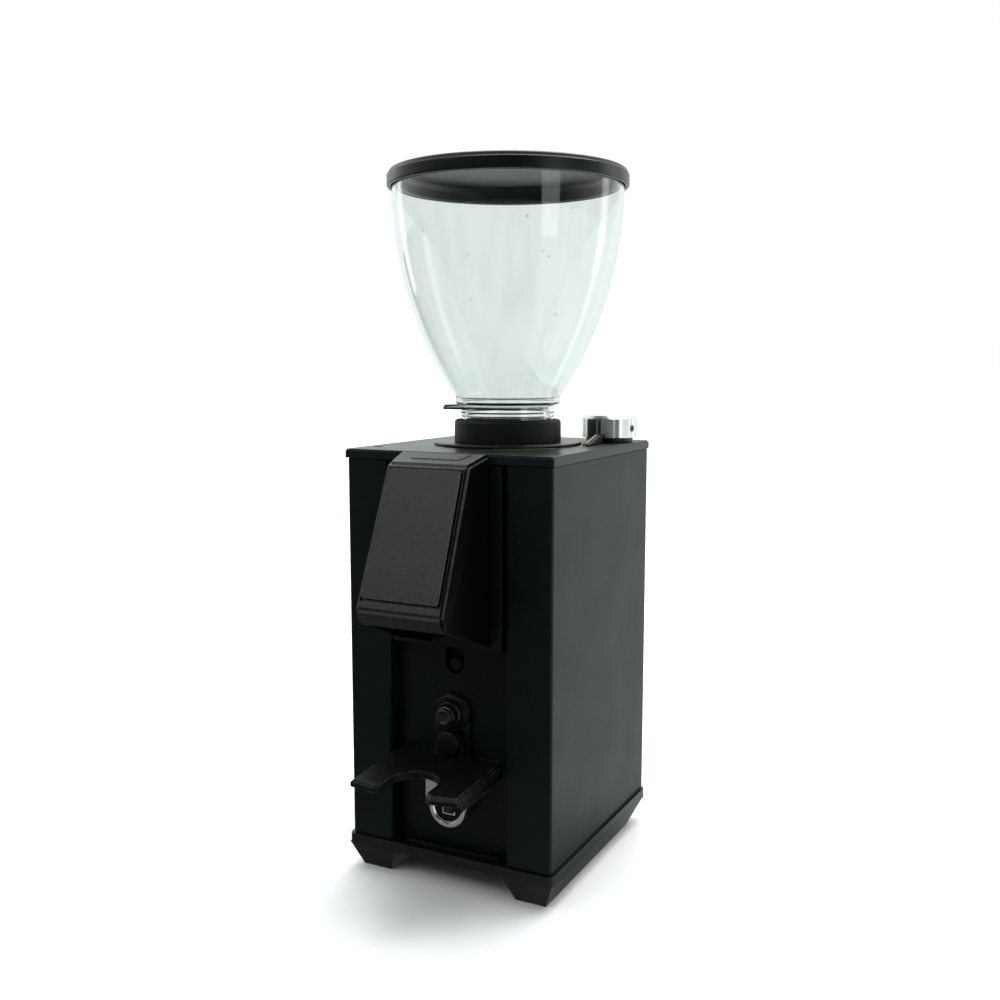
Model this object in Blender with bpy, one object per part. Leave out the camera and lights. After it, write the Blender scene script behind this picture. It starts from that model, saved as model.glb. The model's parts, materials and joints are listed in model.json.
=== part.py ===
"""Burr coffee grinder with a clear hopper, a sloped spout and a portafilter fork.

Every size is in millimetres and is turned into metres where a mesh is made.
X is the width, -Y the front, +Z up. Sizes are counted from the middle of the
housing at floor level; one empty then sets the whole grinder so that the
origin is the middle of its footprint.
"""
import bpy
import bmesh
from math import atan2, cos, degrees, hypot, pi, radians, sin
from mathutils import Matrix, Vector

MM = 0.001
GAP = 0.3

# Housing
BODY_HALF_WIDTH = 60.0
BODY_HALF_DEPTH = 66.9
BASE_TOP = 19.0
BAND_BOTTOM = 13.6
BASE_OVERHANG = 1.55
BODY_TOP = 226.6
TOP_PLATE_TOP = 231.7
TOP_OVERHANG = 1.0
SHEET = 1.5
RECESS_HALF_WIDTH = 34.5
RECESS_DEPTH = 8.9
FRONT = -BODY_HALF_DEPTH
PANEL_FRONT = FRONT + RECESS_DEPTH
PANEL_TOP = 129.0

# Hopper
HOPPER_Y = 3.6
NECK_RADIUS = 25.9
SHOULDER_RADIUS = 29.3
SHOULDER_LOW = 254.0
BOWL_LOW = 258.0
BOWL_TOP = 376.4
BOWL_RADIUS = 63.4
BOWL_CURVE = 2.18
WALL = 2.0
LID_RADIUS = 66.0
LID_LOW = 371.2
LID_EDGE_TOP = 379.0
LID_TOP = 380.8
GATE_LOW = 251.1
GATE_HIGH = 252.3

# Spout, as points (y, z, half width) down its front
SPOUT_REAR = -66.8
SPOUT_CLEAR_OF_TOP = -68.3
SPOUT_TOP_Z = 231.6
SPOUT_TOP_FOLD = (-84.4, 227.2, 23.2)
SPOUT_LOW_FOLD = (-113.5, 157.5, 24.6)
SPOUT_LIP = (-110.6, 150.0, 25.0)
SPOUT_REAR_HALF_WIDTH = 25.8
SPOUT_REAR_LOW = 132.6
BACKPLATE_LOW = 131.0
OUTLET_Z = 142.5

# Fork and button
FORK_BACK_Y = -61.5
FORK_BACK_Z = 72.5
FORK_TILT = radians(3.4)
FORK_HALF_WIDTH = 30.9
FORK_TIP_Y = -112.6
FORK_GAP_RADIUS = 13.0
FORK_GAP_Y = -101.0
FORK_THICKNESS = 4.0
FORK_BEVEL = 1.6
CLAMP_Z = 79.0
CLAMP_RADIUS = 6.4
BOSS_FACE = -61.1
BUTTON_Z = 94.2
BUTTON_RADIUS = 5.3
BUTTON_TIP = -68.6

# Grind adjustment
KNOB_X = 43.5
KNOB_Y = 48.0
KNOB_RADIUS = 16.0
KNOB_LOW = 234.2
KNOB_TOP = 246.8
KNOB_LOBES = 8
LEVER_ANGLE = atan2(KNOB_Y - HOPPER_Y, KNOB_X)
LEVER_REACH = hypot(KNOB_X, KNOB_Y - HOPPER_Y)
LEVER_PIVOT = -30.0
LEVER_LOW = 160.0
LEVER_HIGH = 164.0

# Motor and burrs
SHAFT_RADIUS = 4.0
STATOR_RADIUS = 43.0
ROTOR_RADIUS = 20.0
STATOR_LOW = 66.0
STATOR_HIGH = 112.0
BURR_RADIUS = 29.0
CHAMBER_RADIUS = 36.0
CHAMBER_LOW = 168.0
CHAMBER_HIGH = 214.0

FINE = 48
COARSE = 24

# The grinder reaches from the lid's back edge to the rounded low fold of the spout.
BACK_REACH = HOPPER_Y + LID_RADIUS
FRONT_REACH = SPOUT_LOW_FOLD[0] + 0.6
BODY_Y = -(BACK_REACH + FRONT_REACH) / 2

FINISHES = {
    "powder_coat": ((0.012, 0.014, 0.014), 0.45, 0.0),
    "black_plastic": ((0.016, 0.017, 0.017), 0.5, 0.0),
    "grained_plastic": ((0.035, 0.037, 0.038), 0.6, 0.0),
    "black_rubber": ((0.014, 0.014, 0.014), 0.75, 0.0),
    "clear_plastic": ((0.86, 0.91, 0.91), 0.04, 0.0),
    "turned_aluminium": ((0.83, 0.84, 0.85), 0.25, 1.0),
    "cast_aluminium": ((0.55, 0.56, 0.57), 0.5, 1.0),
    "stainless": ((0.70, 0.69, 0.66), 0.3, 1.0),
    "steel": ((0.45, 0.46, 0.47), 0.35, 1.0),
    "burr_steel": ((0.35, 0.36, 0.37), 0.4, 1.0),
    "copper_wire": ((0.62, 0.28, 0.12), 0.4, 1.0),
    "brass": ((0.72, 0.53, 0.22), 0.35, 1.0),
    "board_green": ((0.02, 0.13, 0.07), 0.5, 0.0),
    "pale_plastic": ((0.6, 0.6, 0.57), 0.5, 0.0),
}


def clear_scene():
    for old in list(bpy.data.objects):
        bpy.data.objects.remove(old, do_unlink=True)


def make_material(name, finish):
    colour, roughness, metallic = FINISHES[finish]
    material = bpy.data.materials.new(name + "_" + finish)
    material.use_nodes = True
    shader = material.node_tree.nodes["Principled BSDF"]
    shader.inputs["Base Color"].default_value = (*colour, 1.0)
    shader.inputs["Roughness"].default_value = roughness
    shader.inputs["Metallic"].default_value = metallic
    return material


def finish_object(name, bm, finish=None, origin=(0, 0, 0), smooth=False):
    """Turns a mesh in millimetres into a placed object with its origin on its axis."""
    bmesh.ops.recalc_face_normals(bm, faces=bm.faces)
    bmesh.ops.translate(bm, verts=bm.verts, vec=-Vector(origin))
    bmesh.ops.scale(bm, verts=bm.verts, vec=(MM, MM, MM))
    mesh = bpy.data.meshes.new(name)
    bm.to_mesh(mesh)
    bm.free()
    if smooth:
        mesh.shade_smooth()
        mesh.set_sharp_from_angle(angle=radians(35))
    piece = bpy.data.objects.new(name, mesh)
    piece.location = Vector(origin) * MM
    piece.parent = housing_middle
    bpy.context.scene.collection.objects.link(piece)
    if finish:
        mesh.materials.append(make_material(name, finish))
    return piece


def shape_for(name, bm):
    """A hidden shape that cuts or joins another piece."""
    piece = finish_object("shape_" + name, bm)
    piece.hide_render = True
    piece.display_type = "WIRE"
    return piece


def combine(piece, shape, operation):
    modifier = piece.modifiers.new(operation.lower(), "BOOLEAN")
    modifier.operation = operation
    modifier.solver = "EXACT"
    modifier.object = shape


def cut(piece, bm):
    combine(piece, shape_for(piece.name + "_cut", bm), "DIFFERENCE")


def join(piece, bm):
    combine(piece, shape_for(piece.name + "_join", bm), "UNION")


def block(bm, low, high):
    """Adds a box between two corners."""
    size = Vector(high) - Vector(low)
    middle = (Vector(high) + Vector(low)) / 2
    bmesh.ops.create_cube(bm, size=1, matrix=Matrix.Translation(middle) @ Matrix.Diagonal((*size, 1)))
    return bm


def prism(bm, outline, low, high, place=lambda a, b, c: (a, b, c)):
    """Extrudes a closed outline of (a, b) points from low to high."""
    bottom = [bm.verts.new(place(a, b, low)) for a, b in outline]
    top = [bm.verts.new(place(a, b, high)) for a, b in outline]
    bm.faces.new(bottom)
    bm.faces.new(top)
    for i in range(len(outline)):
        j = (i + 1) % len(outline)
        bm.faces.new((bottom[i], bottom[j], top[j], top[i]))
    return bm


def facing_front(a, b, c):
    """Puts an outline of (x, z) points upright, extruded along Y."""
    return (a, c, b)


def turned(bm, outline, centre=(0, 0), steps=COARSE, place=lambda x, y, z: (x, y, z)):
    """Turns a closed outline of (radius, height) points about an upright axis."""
    rings = []
    for radius, height in outline:
        if radius < 1e-6:
            rings.append([bm.verts.new(place(centre[0], centre[1], height))])
            continue
        angles = [2 * pi * k / steps for k in range(steps)]
        rings.append([bm.verts.new(place(centre[0] + radius * cos(a), centre[1] + radius * sin(a), height))
                      for a in angles])
    for i, ring in enumerate(rings):
        after = rings[(i + 1) % len(rings)]
        if len(ring) == 1 and len(after) == 1:
            continue
        for k in range(steps):
            m = (k + 1) % steps
            corners = [ring[k % len(ring)], ring[m % len(ring)], after[m % len(after)], after[k % len(after)]]
            bm.faces.new(list(dict.fromkeys(corners)))
    return bm


def tube_outline(inner, outer, low, high):
    return [(outer, low), (outer, high), (inner, high), (inner, low)]


def rod_outline(radius, low, high):
    return [(0, low), (radius, low), (radius, high), (0, high)]


def along_y(centre_z):
    """Lays a turned piece on its side: its height becomes a distance along Y."""
    return lambda x, y, z: (x, z, centre_z + y)


def arc(centre, radius, start, end, count):
    """Points on an arc between two angles in degrees."""
    angles = [radians(start + (end - start) * k / count) for k in range(count + 1)]
    return [(centre[0] + radius * cos(a), centre[1] + radius * sin(a)) for a in angles]


def rounded_rectangle(half_x, half_y, radius, count=3):
    corners = [(1, 1, 0), (-1, 1, 90), (-1, -1, 180), (1, -1, 270)]
    points = []
    for sx, sy, start in corners:
        middle = (sx * (half_x - radius), sy * (half_y - radius))
        points += arc(middle, radius, start, start + 90, count)
    return points


def stadium(half_width, low, high, count=10):
    """An upright outline with half-round ends."""
    top = arc((0, high - half_width), half_width, 0, 180, count)
    return top + arc((0, low + half_width), half_width, 180, 360, count)


def lobed_outline(centre, radius, depth, lobes, steps):
    points = []
    for k in range(steps):
        angle = 2 * pi * k / steps
        reach = radius - depth * (0.5 - 0.5 * cos(lobes * angle)) ** 2
        points.append((centre[0] + reach * cos(angle), centre[1] + reach * sin(angle)))
    return points


def loft(bm, left_points, right_points):
    """A closed body between two matching outlines of 3-D points."""
    left = [bm.verts.new(p) for p in left_points]
    right = [bm.verts.new(p) for p in right_points]
    bm.faces.new(left)
    bm.faces.new(right)
    for i in range(len(left)):
        j = (i + 1) % len(left)
        bm.faces.new((left[i], left[j], right[j], right[i]))
    return bm


def mirrored_loft(points):
    """A body that is symmetric in X, from points (y, z, half width)."""
    bm = bmesh.new()
    return loft(bm, [(-w, y, z) for y, z, w in points], [(w, y, z) for y, z, w in points])


def bevel_sharp(bm, width, keep, segments=2):
    """Bevels the edges for which keep(edge) is true."""
    edges = [edge for edge in bm.edges if keep(edge)]
    bmesh.ops.bevel(bm, geom=edges, offset=width, segments=segments, affect="EDGES", clamp_overlap=True)


# ---------------------------------------------------------------- housing

def make_base():
    bm = bmesh.new()
    half_x = BODY_HALF_WIDTH + BASE_OVERHANG
    half_y = BODY_HALF_DEPTH + BASE_OVERHANG
    base = finish_object("base", prism(bm, rounded_rectangle(half_x, half_y, 3), BAND_BOTTOM, BASE_TOP),
                         "black_plastic")
    for side in (-1, 1):
        foot = bmesh.new()
        top = [(side * 32.5, -half_y + 0.3), (side * (half_x - 0.3), -half_y + 0.3),
               (side * (half_x - 0.3), half_y - 0.3), (side * 32.5, half_y - 0.3)]
        bottom = [(side * 38, -62.5), (side * 55.5, -62.5), (side * 55.5, 52), (side * 38, 52)]
        loft(foot, [(x, y, BAND_BOTTOM + 0.5) for x, y in top], [(x, y, 0) for x, y in bottom])
        join(base, foot)
    join(base, block(bmesh.new(), (-28, -62, BASE_TOP - 1), (28, -61, BASE_TOP + 0.7)))
    return base


def make_side_shell(name, side):
    """A bent sheet: the side wall, the front post and its return into the recess."""
    outer = BODY_HALF_WIDTH
    front = FRONT
    inner = RECESS_HALF_WIDTH
    outline = [(inner, PANEL_FRONT + 1.5)]
    outline += arc((inner + 1.5, front + 1.5), 1.5, 180, 270, 3)
    outline += arc((outer - 2, front + 2), 2, 270, 360, 3)
    outline += [(outer, BODY_HALF_DEPTH), (outer - SHEET, BODY_HALF_DEPTH), (outer - SHEET, front + SHEET),
                (inner + SHEET, front + SHEET), (inner + SHEET, PANEL_FRONT + 1.5)]
    bm = bmesh.new()
    prism(bm, [(side * x, y) for x, y in outline], BASE_TOP + GAP, BODY_TOP)
    return finish_object(name, bm, "powder_coat")


def make_rear_panel():
    half = BODY_HALF_WIDTH - SHEET - GAP
    back = BODY_HALF_DEPTH
    bm = block(bmesh.new(), (-half, back - SHEET, BASE_TOP + GAP), (half, back, BODY_TOP))
    panel = finish_object("rear_panel", bm, "powder_coat")
    slots = bmesh.new()
    for row in range(6):
        for side in (-1, 1):
            low = 120 + row * 12
            block(slots, (side * 22 - 16, 60, low), (side * 22 + 16, 72, low + 4))
    cut(panel, slots)
    sockets = bmesh.new()
    block(sockets, (-14.3, 60, 30.7), (14.3, 72, 53.3))
    block(sockets, (22.7, 60, 31.7), (37.3, 72, 52.3))
    cut(panel, sockets)
    return panel


def make_front_panel():
    half = RECESS_HALF_WIDTH - GAP
    bottom = BASE_TOP + GAP
    notch = 5.4
    outline = [(-half, bottom), (half, bottom), (half, PANEL_TOP), (notch, PANEL_TOP)]
    outline += arc((0, 114.5 + notch), notch, 0, -180, 10)
    outline += [(-notch, PANEL_TOP), (-half, PANEL_TOP)]
    bm = prism(bmesh.new(), outline, PANEL_FRONT, PANEL_FRONT + SHEET, facing_front)
    panel = finish_object("front_panel", bm, "powder_coat")
    cut(panel, front_openings())
    return panel


def front_openings():
    """The stem hole of the button and the slot in which the fork's clamp rides."""
    bm = bmesh.new()
    turned(bm, rod_outline(3.4, PANEL_FRONT - 6, PANEL_FRONT + 6), steps=16, place=along_y(BUTTON_Z))
    slot = stadium(2.8, CLAMP_Z - 10.8, CLAMP_Z + 2.9, 6)
    prism(bm, slot, PANEL_FRONT - 6, PANEL_FRONT + 6, facing_front)
    return bm


def make_crossbar_and_pin():
    bar = block(bmesh.new(), (-33.5, -52.5, 108), (33.5, -51, 128.5))
    finish_object("front_crossbar", bar, "powder_coat")
    head = [(0, -57.2), (2.2, -57.0), (3.9, -55.6), (3.9, -54.4), (2, -54.4), (2, -52.8), (0, -52.8)]
    pin = turned(bmesh.new(), head, steps=20, place=along_y(119.4))
    finish_object("panel_pin", pin, "powder_coat", smooth=True)


def make_top_plate():
    half_x = BODY_HALF_WIDTH + TOP_OVERHANG
    half_y = BODY_HALF_DEPTH + TOP_OVERHANG
    bm = prism(bmesh.new(), rounded_rectangle(half_x, half_y, 1.5), BODY_TOP + GAP, TOP_PLATE_TOP)
    top_edges = [e for e in bm.edges if all(v.co.z > TOP_PLATE_TOP - 0.1 for v in e.verts)]
    bmesh.ops.bevel(bm, geom=top_edges, offset=0.8, segments=2, affect="EDGES")
    plate = finish_object("top_plate", bm, "powder_coat")
    holes = bmesh.new()
    turned(holes, rod_outline(24, 220, 240), (0, HOPPER_Y), 32)
    turned(holes, rod_outline(7, 220, 240), (KNOB_X, KNOB_Y), 20)
    for x, y in SCREW_PLACES.values():
        turned(holes, rod_outline(2.8, BODY_TOP + 2.5, 240), (x, y), 12)
    cut(plate, holes)
    return plate


SCREW_PLACES = {"front_left": (-52.8, -47.4), "front_right": (52.8, -47.4),
                "rear_left": (-55, 62.5), "rear_right": (55.5, 63)}


def make_top_screws():
    low = BODY_TOP + 2.5 + GAP
    for corner, place in SCREW_PLACES.items():
        outline = [(0, low), (2.5, low), (2.5, TOP_PLATE_TOP - 0.2), (1.2, TOP_PLATE_TOP - 0.2),
                   (1.0, TOP_PLATE_TOP - 1.4), (0, TOP_PLATE_TOP - 1.4)]
        finish_object("top_screw_" + corner, turned(bmesh.new(), outline, place, 12), "steel")


# ---------------------------------------------------------------- spout

def make_backplate():
    """Folded plate that closes the recess above the lower panel and carries the spout."""
    face, rear, half, wing = FRONT + 0.4, PANEL_FRONT + SHEET, 31.8, RECESS_HALF_WIDTH - GAP
    right = [(half, face), (half, rear - SHEET), (wing, rear - SHEET), (wing, rear), (half - 1.8, rear),
             (half - 1.8, face + 2)]
    outline = right + [(-x, y) for x, y in reversed(right)]
    plate = finish_object("spout_backplate", prism(bmesh.new(), outline, BACKPLATE_LOW, BODY_TOP - GAP),
                          "powder_coat")
    low = BACKPLATE_LOW
    join(plate, block(bmesh.new(), (-half + 0.5, face + 0.5, low), (half - 0.5, rear, low + 1.8)))
    cut(plate, block(bmesh.new(), (-13.8, FRONT - 5, 158), (13.8, FRONT + 4, 198)))
    return plate


def front_face_frame():
    """Origin, down direction and outward normal of the spout's sloped front, in the YZ plane."""
    top = Vector((0, SPOUT_TOP_FOLD[0], SPOUT_TOP_FOLD[1]))
    low = Vector((0, SPOUT_LOW_FOLD[0], SPOUT_LOW_FOLD[1]))
    down = (low - top).normalized()
    outward = Vector((0, down.z, -down.y))
    return top, down, outward, (low - top).length


def sloped_slab(bm, side_margin, top_margin, low_margin, outer, inner):
    """A tapered slab that lies along the spout's sloped front, between two distances from it."""
    top, down, outward, length = front_face_frame()
    corners = []
    for distance in (outer, inner):
        for along, half in ((top_margin, SPOUT_TOP_FOLD[2]), (length - low_margin, SPOUT_LOW_FOLD[2])):
            point = top + down * along + outward * distance
            corners.append((point.y, point.z, half - side_margin))
    order = [corners[0], corners[1], corners[3], corners[2]]
    return loft(bm, [(-w, y, z) for y, z, w in order], [(w, y, z) for y, z, w in order])


def make_spout_cover():
    wide = SPOUT_REAR_HALF_WIDTH
    points = [(SPOUT_CLEAR_OF_TOP, SPOUT_TOP_Z, wide), SPOUT_TOP_FOLD, SPOUT_LOW_FOLD, SPOUT_LIP,
              (SPOUT_REAR, SPOUT_REAR_LOW, wide), (SPOUT_REAR, BODY_TOP - GAP, wide),
              (SPOUT_CLEAR_OF_TOP, BODY_TOP - GAP, wide)]
    bm = mirrored_loft(points)
    bevel_sharp(bm, 1.6, lambda e: all(v.co.y < SPOUT_CLEAR_OF_TOP - 0.5 for v in e.verts)
                or (e.verts[0].co.x * e.verts[1].co.x > 0 and min(v.co.y for v in e.verts) < -80
                    and min(v.co.z for v in e.verts) > 200))
    cover = finish_object("spout_cover", bm, "grained_plastic")
    skin = 2.4
    inner = [(-60, SPOUT_TOP_Z - 3, wide - skin), (-82.6, SPOUT_TOP_FOLD[1] - 3.2, SPOUT_TOP_FOLD[2] - skin),
             (-110.0, 157.8, SPOUT_LOW_FOLD[2] - skin), (-107.8, 149, SPOUT_LIP[2] - skin),
             (-105, 139, SPOUT_LIP[2] - skin), (-60, 122, wide - skin)]
    cut(cover, mirrored_loft(inner))
    cut(cover, sloped_slab(bmesh.new(), 1.9, 2.2, 4.6, 3.0, -1.5))
    return cover


def make_spout_front_panel():
    bm = sloped_slab(bmesh.new(), 2.3, 2.6, 5.0, 0.0, -1.2)
    return finish_object("spout_front_panel", bm, "grained_plastic")


def make_chute():
    """Square duct from the grind chamber's mouth, sloping down to the outlet."""
    start = [(-12, -60.2, 172), (12, -60.2, 172), (12, -60.2, 194), (-12, -60.2, 194)]
    end = [(-12, -86, OUTLET_Z), (12, -86, OUTLET_Z), (12, -101, OUTLET_Z), (-12, -101, OUTLET_Z)]
    bore_start = [(-10, -60.2, 174), (10, -60.2, 174), (10, -60.2, 192), (-10, -60.2, 192)]
    bore_end = [(-10, -88, OUTLET_Z), (10, -88, OUTLET_Z), (10, -99, OUTLET_Z), (-10, -99, OUTLET_Z)]
    bm = bmesh.new()
    loops = [[bm.verts.new(p) for p in loop] for loop in (start, end, bore_end, bore_start)]
    for i, loop in enumerate(loops):
        after = loops[(i + 1) % 4]
        for k in range(4):
            m = (k + 1) % 4
            bm.faces.new((loop[k], loop[m], after[m], after[k]))
    return finish_object("outlet_chute", bm, "black_plastic")


# ---------------------------------------------------------------- button and fork

def make_start_button():
    stem = 2.8
    outline = [(0, BUTTON_TIP + 0.8), (2.8, BUTTON_TIP + 0.6), (4.4, BUTTON_TIP),
               (BUTTON_RADIUS, BUTTON_TIP + 0.8), (BUTTON_RADIUS, -65.2), (stem, -65.2),
               (stem, -53.6), (0, -53.6)]
    bm = turned(bmesh.new(), outline, steps=24, place=along_y(BUTTON_Z))
    finish_object("start_button", bm, "black_plastic", origin=(0, BUTTON_TIP, BUTTON_Z), smooth=True)
    rear = BOSS_FACE - GAP
    boot = [(9.8, rear), (9.8, rear - 1.2), (8.8, rear - 2.2), (7.2, rear - 3.4), (6.6, rear - 4.6),
            (5.7, rear - 4.6), (5.7, rear)]
    finish_object("button_boot", turned(bmesh.new(), boot, steps=28, place=along_y(BUTTON_Z)),
                  "black_rubber", smooth=True)
    switch = block(bmesh.new(), (-5, -49.4, BUTTON_Z - 8), (5, -42, BUTTON_Z + 8))
    finish_object("micro_switch", switch, "black_plastic")


def make_fork_mount():
    bm = prism(bmesh.new(), stadium(10.2, 62, 104.4, 12), BOSS_FACE, PANEL_FRONT - GAP, facing_front)
    bevel_sharp(bm, 0.6, lambda e: all(v.co.y < BOSS_FACE + 0.1 for v in e.verts), 1)
    mount = finish_object("fork_mount", bm, "black_plastic")
    cut(mount, front_openings())
    return mount


def fork_outline():
    half, tip, gap = FORK_HALF_WIDTH, FORK_TIP_Y, FORK_GAP_RADIUS
    right = [(8, -65.1), (13, FORK_BACK_Y), (half, FORK_BACK_Y), (half, tip + 2), (gap + 3.1, tip),
             (gap, tip + 2.2)]
    left = [(-x, y) for x, y in reversed(right)]
    return right + arc((0, FORK_GAP_Y), gap, 0, 180, 16) + left


def make_fork():
    tilt = Matrix.Rotation(FORK_TILT, 4, "X")
    pivot = Matrix.Translation((0, FORK_BACK_Y, FORK_BACK_Z))
    lean = pivot @ tilt @ pivot.inverted()
    bm = prism(bmesh.new(), fork_outline(), FORK_BACK_Z - FORK_THICKNESS, FORK_BACK_Z)
    bevel_sharp(bm, FORK_BEVEL, lambda e: all(v.co.z > FORK_BACK_Z - 0.1 for v in e.verts)
                and all(abs(v.co.x) > FORK_GAP_RADIUS - 0.1 for v in e.verts)
                and max(abs(v.co.x) for v in e.verts) > FORK_GAP_RADIUS + 1
                and min(v.co.y for v in e.verts) < FORK_BACK_Y - 1, 1)
    bmesh.ops.transform(bm, matrix=lean, verts=bm.verts)
    fork = finish_object("fork", bm, "powder_coat")
    for near, far in ((-30.6, -25.6), (25.6, 30.6)):
        rib = block(bmesh.new(), (near, -107.0, FORK_BACK_Z - 8.2),
                    (far, -62.5, FORK_BACK_Z - FORK_THICKNESS + 0.4))
        bmesh.ops.transform(rib, matrix=lean, verts=rib.verts)
        join(fork, rib)
    tab = [(-8.2, 66)] + [(8.2, 66)] + arc((0, 75.6), 8.2, 0, 180, 10)
    join(fork, prism(bmesh.new(), tab, -64.4, BOSS_FACE - GAP, facing_front))
    join(fork, block(bmesh.new(), (-11.5, -65.0, 54), (11.5, BOSS_FACE - GAP, 70)))
    stud_hole = turned(bmesh.new(), rod_outline(2.6, -70, -55), steps=16, place=along_y(CLAMP_Z))
    cut(fork, stud_hole)
    return fork


def make_fork_clamp():
    front = -68.2
    outline = [(0, front), (CLAMP_RADIUS - 0.8, front), (CLAMP_RADIUS, front + 0.8), (CLAMP_RADIUS, -64.7),
               (2.3, -64.7), (2.3, -54), (0, -54)]
    bm = turned(bmesh.new(), outline, steps=24, place=along_y(CLAMP_Z))
    finish_object("fork_clamp_knob", bm, "black_plastic", origin=(0, front, CLAMP_Z), smooth=True)


def make_hook_plate():
    eye_z, eye_radius, half = 44.4, 10.9, 13.0
    outline = [(half, 47.6), (half, 60), (-half, 60), (-half, 47.6)]
    outline += arc((0, eye_z), eye_radius, 182, 358, 18)
    bm = prism(bmesh.new(), outline, -66.9, -65.3, facing_front)
    plate = finish_object("hook_plate", bm, "stainless")
    hole = turned(bmesh.new(), rod_outline(8.6, -75, -55), steps=24, place=along_y(eye_z + 0.9))
    cut(plate, hole)


# ---------------------------------------------------------------- hopper

def bowl_outline():
    """Outer radius and height up the bowl, which opens along a power curve."""
    count = 9
    points = []
    for k in range(count + 1):
        height = BOWL_LOW + (BOWL_TOP - BOWL_LOW) * (k / count) ** 1.25
        rest = 1 - (height - BOWL_LOW) / (BOWL_TOP - BOWL_LOW)
        points.append((BOWL_RADIUS - (BOWL_RADIUS - SHOULDER_RADIUS) * rest ** BOWL_CURVE, height))
    return points


def make_hopper():
    outer = [(NECK_RADIUS, 233.9), (NECK_RADIUS, 253.2), (SHOULDER_RADIUS - 0.6, SHOULDER_LOW)]
    outer += bowl_outline()
    inner = [(radius - WALL, height) for radius, height in reversed(bowl_outline())]
    inner += [(NECK_RADIUS - WALL, SHOULDER_LOW + 0.6), (NECK_RADIUS - WALL, 233.9)]
    bm = turned(bmesh.new(), outer + inner, (0, HOPPER_Y), FINE)
    hopper = finish_object("hopper", bm, "clear_plastic", origin=(0, HOPPER_Y, 233.9), smooth=True)
    slit = block(bmesh.new(), (-40, HOPPER_Y - 20.3, GATE_LOW - 0.4), (-12, HOPPER_Y + 20.3, GATE_HIGH + 0.4))
    cut(hopper, slit)


def make_gate():
    """Flat gate with a half-round end that shuts the neck, and a small thumb tab outside."""
    outline = arc((0, HOPPER_Y), 22.8, -60, 60, 12)
    outline += [(-30.5, HOPPER_Y + 19.7), (-30.5, HOPPER_Y + 7), (-38.5, HOPPER_Y + 5.5)]
    outline += [(-38.5, HOPPER_Y - 5.5), (-30.5, HOPPER_Y - 7), (-30.5, HOPPER_Y - 19.7)]
    bm = prism(bmesh.new(), outline, GATE_LOW, GATE_HIGH)
    finish_object("slide_gate", bm, "black_plastic", origin=(0, HOPPER_Y, GATE_LOW))


def make_lid():
    groove_inner, groove_outer = BOWL_RADIUS - WALL - 0.4, BOWL_RADIUS + 0.4
    skirt_inner, skirt_low = groove_inner - 1.6, LID_LOW + 0.5
    outline = [(LID_RADIUS, LID_LOW + 1), (LID_RADIUS, LID_EDGE_TOP - 1.6),
               (LID_RADIUS - 0.5, LID_EDGE_TOP - 0.5), (LID_RADIUS - 1.7, LID_EDGE_TOP),
               (40, LID_TOP - 0.6), (0, LID_TOP), (0, LID_TOP - 2), (42, LID_TOP - 2.2),
               (42.6, 377.3), (skirt_inner, 376.9), (skirt_inner, skirt_low),
               (groove_inner, skirt_low), (groove_inner, BOWL_TOP + GAP), (groove_outer, BOWL_TOP + GAP),
               (groove_outer, LID_LOW), (LID_RADIUS - 1, LID_LOW)]
    bm = turned(bmesh.new(), outline, (0, HOPPER_Y), FINE)
    finish_object("hopper_lid", bm, "black_plastic", origin=(0, HOPPER_Y, LID_LOW), smooth=True)


def make_collar():
    flange = [(41.3, 232.0), (41.3, 232.8), (40.6, 233.2), (24.6, 233.2), (24.6, 232.0)]
    inner = NECK_RADIUS + 0.4
    ring = [(29.9, 233.5), (29.7, 244.9), (29.1, 245.5), (inner, 245.5), (inner, 233.5)]
    rings = (("collar_flange", "black_plastic", flange), ("hopper_collar", "black_rubber", ring))
    for name, finish, outline in rings:
        bm = turned(bmesh.new(), outline, (0, HOPPER_Y), FINE)
        finish_object(name, bm, finish, smooth=True)


# ---------------------------------------------------------------- grind adjustment

def make_adjust_knob():
    place = (KNOB_X, KNOB_Y)
    bm = prism(bmesh.new(), lobed_outline(place, KNOB_RADIUS, 0.9, KNOB_LOBES, 64), KNOB_LOW, KNOB_TOP)
    bevel_sharp(bm, 0.6, lambda e: all(v.co.z > KNOB_TOP - 0.1 for v in e.verts), 1)
    knob = finish_object("adjust_knob", bm, "turned_aluminium", origin=(*place, KNOB_LOW), smooth=True)
    cut(knob, turned(bmesh.new(), rod_outline(3.2, KNOB_LOW - 3, 243.3), place, 16))
    cut(knob, set_screw_shape(1.9, 1.0, 20))
    screw = set_screw_shape(1.6, 3.4, 13.6)
    finish_object("knob_set_screw", screw, "brass", origin=(KNOB_X, KNOB_Y, 239.6), smooth=True)


def set_screw_shape(radius, start, end):
    """A small rod across the knob, from near its middle to its skin."""
    bm = turned(bmesh.new(), rod_outline(radius, start, end), steps=12)
    heading = radians(-14.5)
    lie = Matrix.Translation((KNOB_X, KNOB_Y, 239.6)) @ Matrix.Rotation(heading, 4, "Z")
    bmesh.ops.transform(bm, matrix=lie @ Matrix.Rotation(pi / 2, 4, "Y"), verts=bm.verts)
    return bm


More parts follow.
